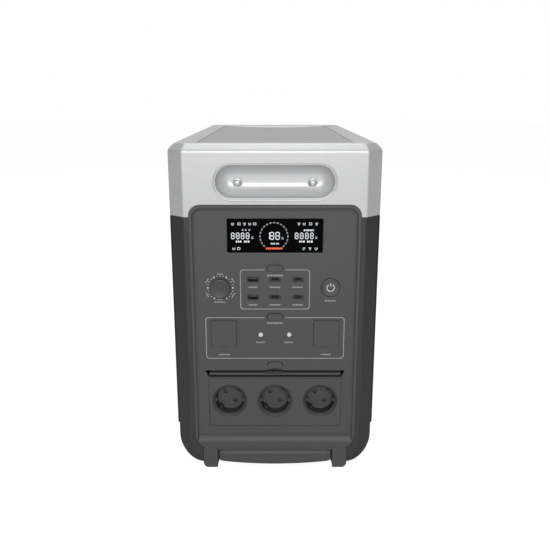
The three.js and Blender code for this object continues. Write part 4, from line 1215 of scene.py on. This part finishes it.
# ---------------------------------------------------------------- rear panel
# A graphite closing plate with two columns of vents in front of the fan, held by four countersunk
# screws, and the charging inlet, a black three-pin socket with plated pins.
REAR_SCREW = ((0, 0.6), (2.2, 0.4), (3.1, 0.2), (3.1, 1.2), (1.6, 2.8), (0, 2.8))
back = rear_high.y
vents = []
for row in range(9):
    for side in (-1, 1):
        vents.append(slab(30 + side * 22, 245 + (row - 4) * 9.5, 36, 3.6, 1.7))
inlet_low, inlet_high = box_mm("ac_inlet")
inlet_at = centre_mm("ac_inlet")
vents.append(loop_round("ac_inlet", 3, CLEARANCE, 6))
for x in (-90, 90):
    for z in (120, 330):
        vents.append(round_hole(x, z, 3.4, 24))
rear_loop = around(rear_low, rear_high, 0, 2, 2)
rear_plate = drilled("rear_panel_plate", rear_loop, vents, rear_low.y, rear_high.y, 0.4)
mount(rear_plate, graphite, "casing", "graphite_panel", "rear_panel")
for x in (-90, 90):
    for z in (120, 330):
        line = [(radius, back - sunk) for radius, sunk in REAR_SCREW]
        screw = turned("rear_screw_%d_%d" % (x + 100, z), line, (x, 0, z), steps=32)
        mount(screw, steel, "casing", "bright_steel")
inlet = prism("ac_inlet_body", loop_round("ac_inlet", 3, 0, 6), inlet_low.y, inlet_high.y)
carve(inlet, prism("mouth", slab(inlet_at.x, inlet_at.z, 26, 19, 2), inlet_high.y - 17.5, inlet_high.y + 1))
soften(inlet, 0.4)
mount(inlet, black, "casing", "black_plastic", "ac_inlet")
pins = [slab(inlet_at.x + x, inlet_at.z + z, 2, 6) for x, z in ((-6.5, -3), (0, 3), (6.5, -3))]
pin_piece = prisms("inlet_pins", pins, inlet_high.y - 18, inlet_high.y - 8.5)
mount(soften(pin_piece, 0.3), steel, "casing", "bright_steel")

# ---------------------------------------------------------------- cooling fan
# A boxed axial fan, screwed behind the vents: a black square frame with a round tunnel and a motor
# on a cross arm, and a seven-bladed rotor on the motor's pin.
fan_low, fan_high = box_mm("fan_frame")
fan_at = centre_mm("fan_frame")
housing = prism("fan_housing", loop_round("fan_frame", 4, 0, 8), fan_low.y, fan_high.y)
carve(housing, prism("tunnel", round_hole(fan_at.x, fan_at.z, 42, 72), fan_low.y - 1, fan_high.y + 1))
corners = [round_hole(fan_at.x + x, fan_at.z + z, 2.2, 20) for x in (-41, 41) for z in (-41, 41)]
carve(housing, prisms("corners", corners, fan_low.y - 1, fan_high.y + 1))
centre = (fan_at.x, 0, fan_at.z)
arms = block("arms", (fan_at.x - 43, fan_low.y, fan_at.z - 2.5),
             (fan_at.x + 43, fan_low.y + 3, fan_at.z + 2.5))
motor = rod("motor", 15, fan_low.y, fan_low.y + 4, centre)
pin = rod("pin", 2, fan_low.y + 1, fan_high.y - 3, centre)
carve(housing, arms, motor, pin, operation="UNION")
soften(housing, 0.4)
mount(housing, black, "casing", "black_plastic", "fan_frame")
y0 = fan_low.y + 4.6
y1 = fan_high.y - 1
rotor_line = [(2.5, y0), (17, y0), (17, y1 - 1), (16, y1), (2, y1), (1.8, y1 - 1.5), (2.5, y1 - 1.6)]
rotor = turned("fan_rotor_hub", rotor_line, centre)
SECTION = ((-1, -0.8), (0, -1.4), (1, -0.4), (1, 0.4), (0, 0.2), (-1, 0.8))
for k in range(7):
    rings = []
    for i in range(7):
        radius = 15 + 24 * i / 6
        twist = math.radians(48 - 20 * i / 6)
        wide = 7 + 2.4 * i / 6
        sweep = math.radians(10 * i / 6 + 360 * k / 7)
        ring_points = []
        for side, b in SECTION:
            a = side * wide
            across = a * math.cos(twist) - b * math.sin(twist)
            along = a * math.sin(twist) + b * math.cos(twist)
            x = fan_at.x + radius * math.cos(sweep) - across * math.sin(sweep)
            z = fan_at.z + radius * math.sin(sweep) + across * math.cos(sweep)
            ring_points.append((x, (y0 + y1) / 2 + along, z))
        rings.append(ring_points)
    carve(rotor, loft("blade", rings), operation="UNION")
mount(rotor, black, "fan", "black_plastic", "fan_rotor")

# ---------------------------------------------------------------- battery, inverter and board
# What fills the casing: prismatic cells strapped into one pack along the floor, a cased inverter
# with a finned lid above them, and the board that carries the panel's sockets and switches.
cell_wrap = moulding("cell_wrap", (0.05, 0.13, 0.24), 0.35, grain=4, depth=0.05, mottle=0.15)
pack_low, pack_high = box_mm("battery_pack")
CELL_COLUMNS = 4
CELL_ROWS = 7
cells = prisms("battery_cells", [slab(pack_low.x + 25 + 50 * i, (pack_low.z + pack_high.z) / 2, 49, 178, 3)
                                 for i in range(CELL_COLUMNS)], pack_low.y + 1, pack_high.y - 1)
for k in range(1, CELL_ROWS):
    y = pack_low.y + (pack_high.y - pack_low.y) * k / CELL_ROWS
    carve(cells, block("gap", (pack_low.x - 1, y - 0.6, pack_low.z + 6),
                       (pack_high.x + 1, y + 0.6, pack_high.z + 1)))
band_low = block("battery_band", tuple(pack_low), (pack_high.x, pack_high.y, pack_low.z + 8))
carve(cells, band_low, operation="UNION")
soften(cells, 0.8)
mount(cells, cell_wrap, "casing", "cell_pack", "battery_pack")

case_low, case_high = box_mm("inverter_module")
case = block("inverter_case", tuple(case_low), (case_high.x, case_high.y, case_high.z - 16))
fins = [slab(case_low.x + 12 + 11 * i, case_high.z - 8.5, 3, 17) for i in range(17)]
carve(case, prisms("fins", fins, case_low.y + 8, case_high.y - 8), operation="UNION")
soften(case, 0.4)
mount(case, aluminium, "casing", "bright_steel", "inverter_module")

board_low, board_high = box_mm("control_board")
board_holes = [round_hole(x, z, 1.6, 20) for x in (-45, 45) for z in (167, 307)]
board_loop = around(board_low, board_high, 0, 2, 2)
board = drilled("control_board_plate", board_loop, board_holes, board_low.y, board_high.y, 0.15)
solder_mask = moulding("solder_mask", (0.012, 0.09, 0.035), 0.3, grain=3, depth=0.04, mottle=0.25)
mount(board, solder_mask, "casing", "circuit_board", "control_board")
random.seed(4)
chips = [slab(random.uniform(-38, 38), 176 + 11 * i, random.uniform(4, 14), random.uniform(3, 8))
         for i in range(12)]
chip_piece = prisms("board_chips", chips, board_high.y - 0.05, board_high.y + 1.6)
mount(soften(chip_piece, 0.2), black, "casing", "black_plastic")
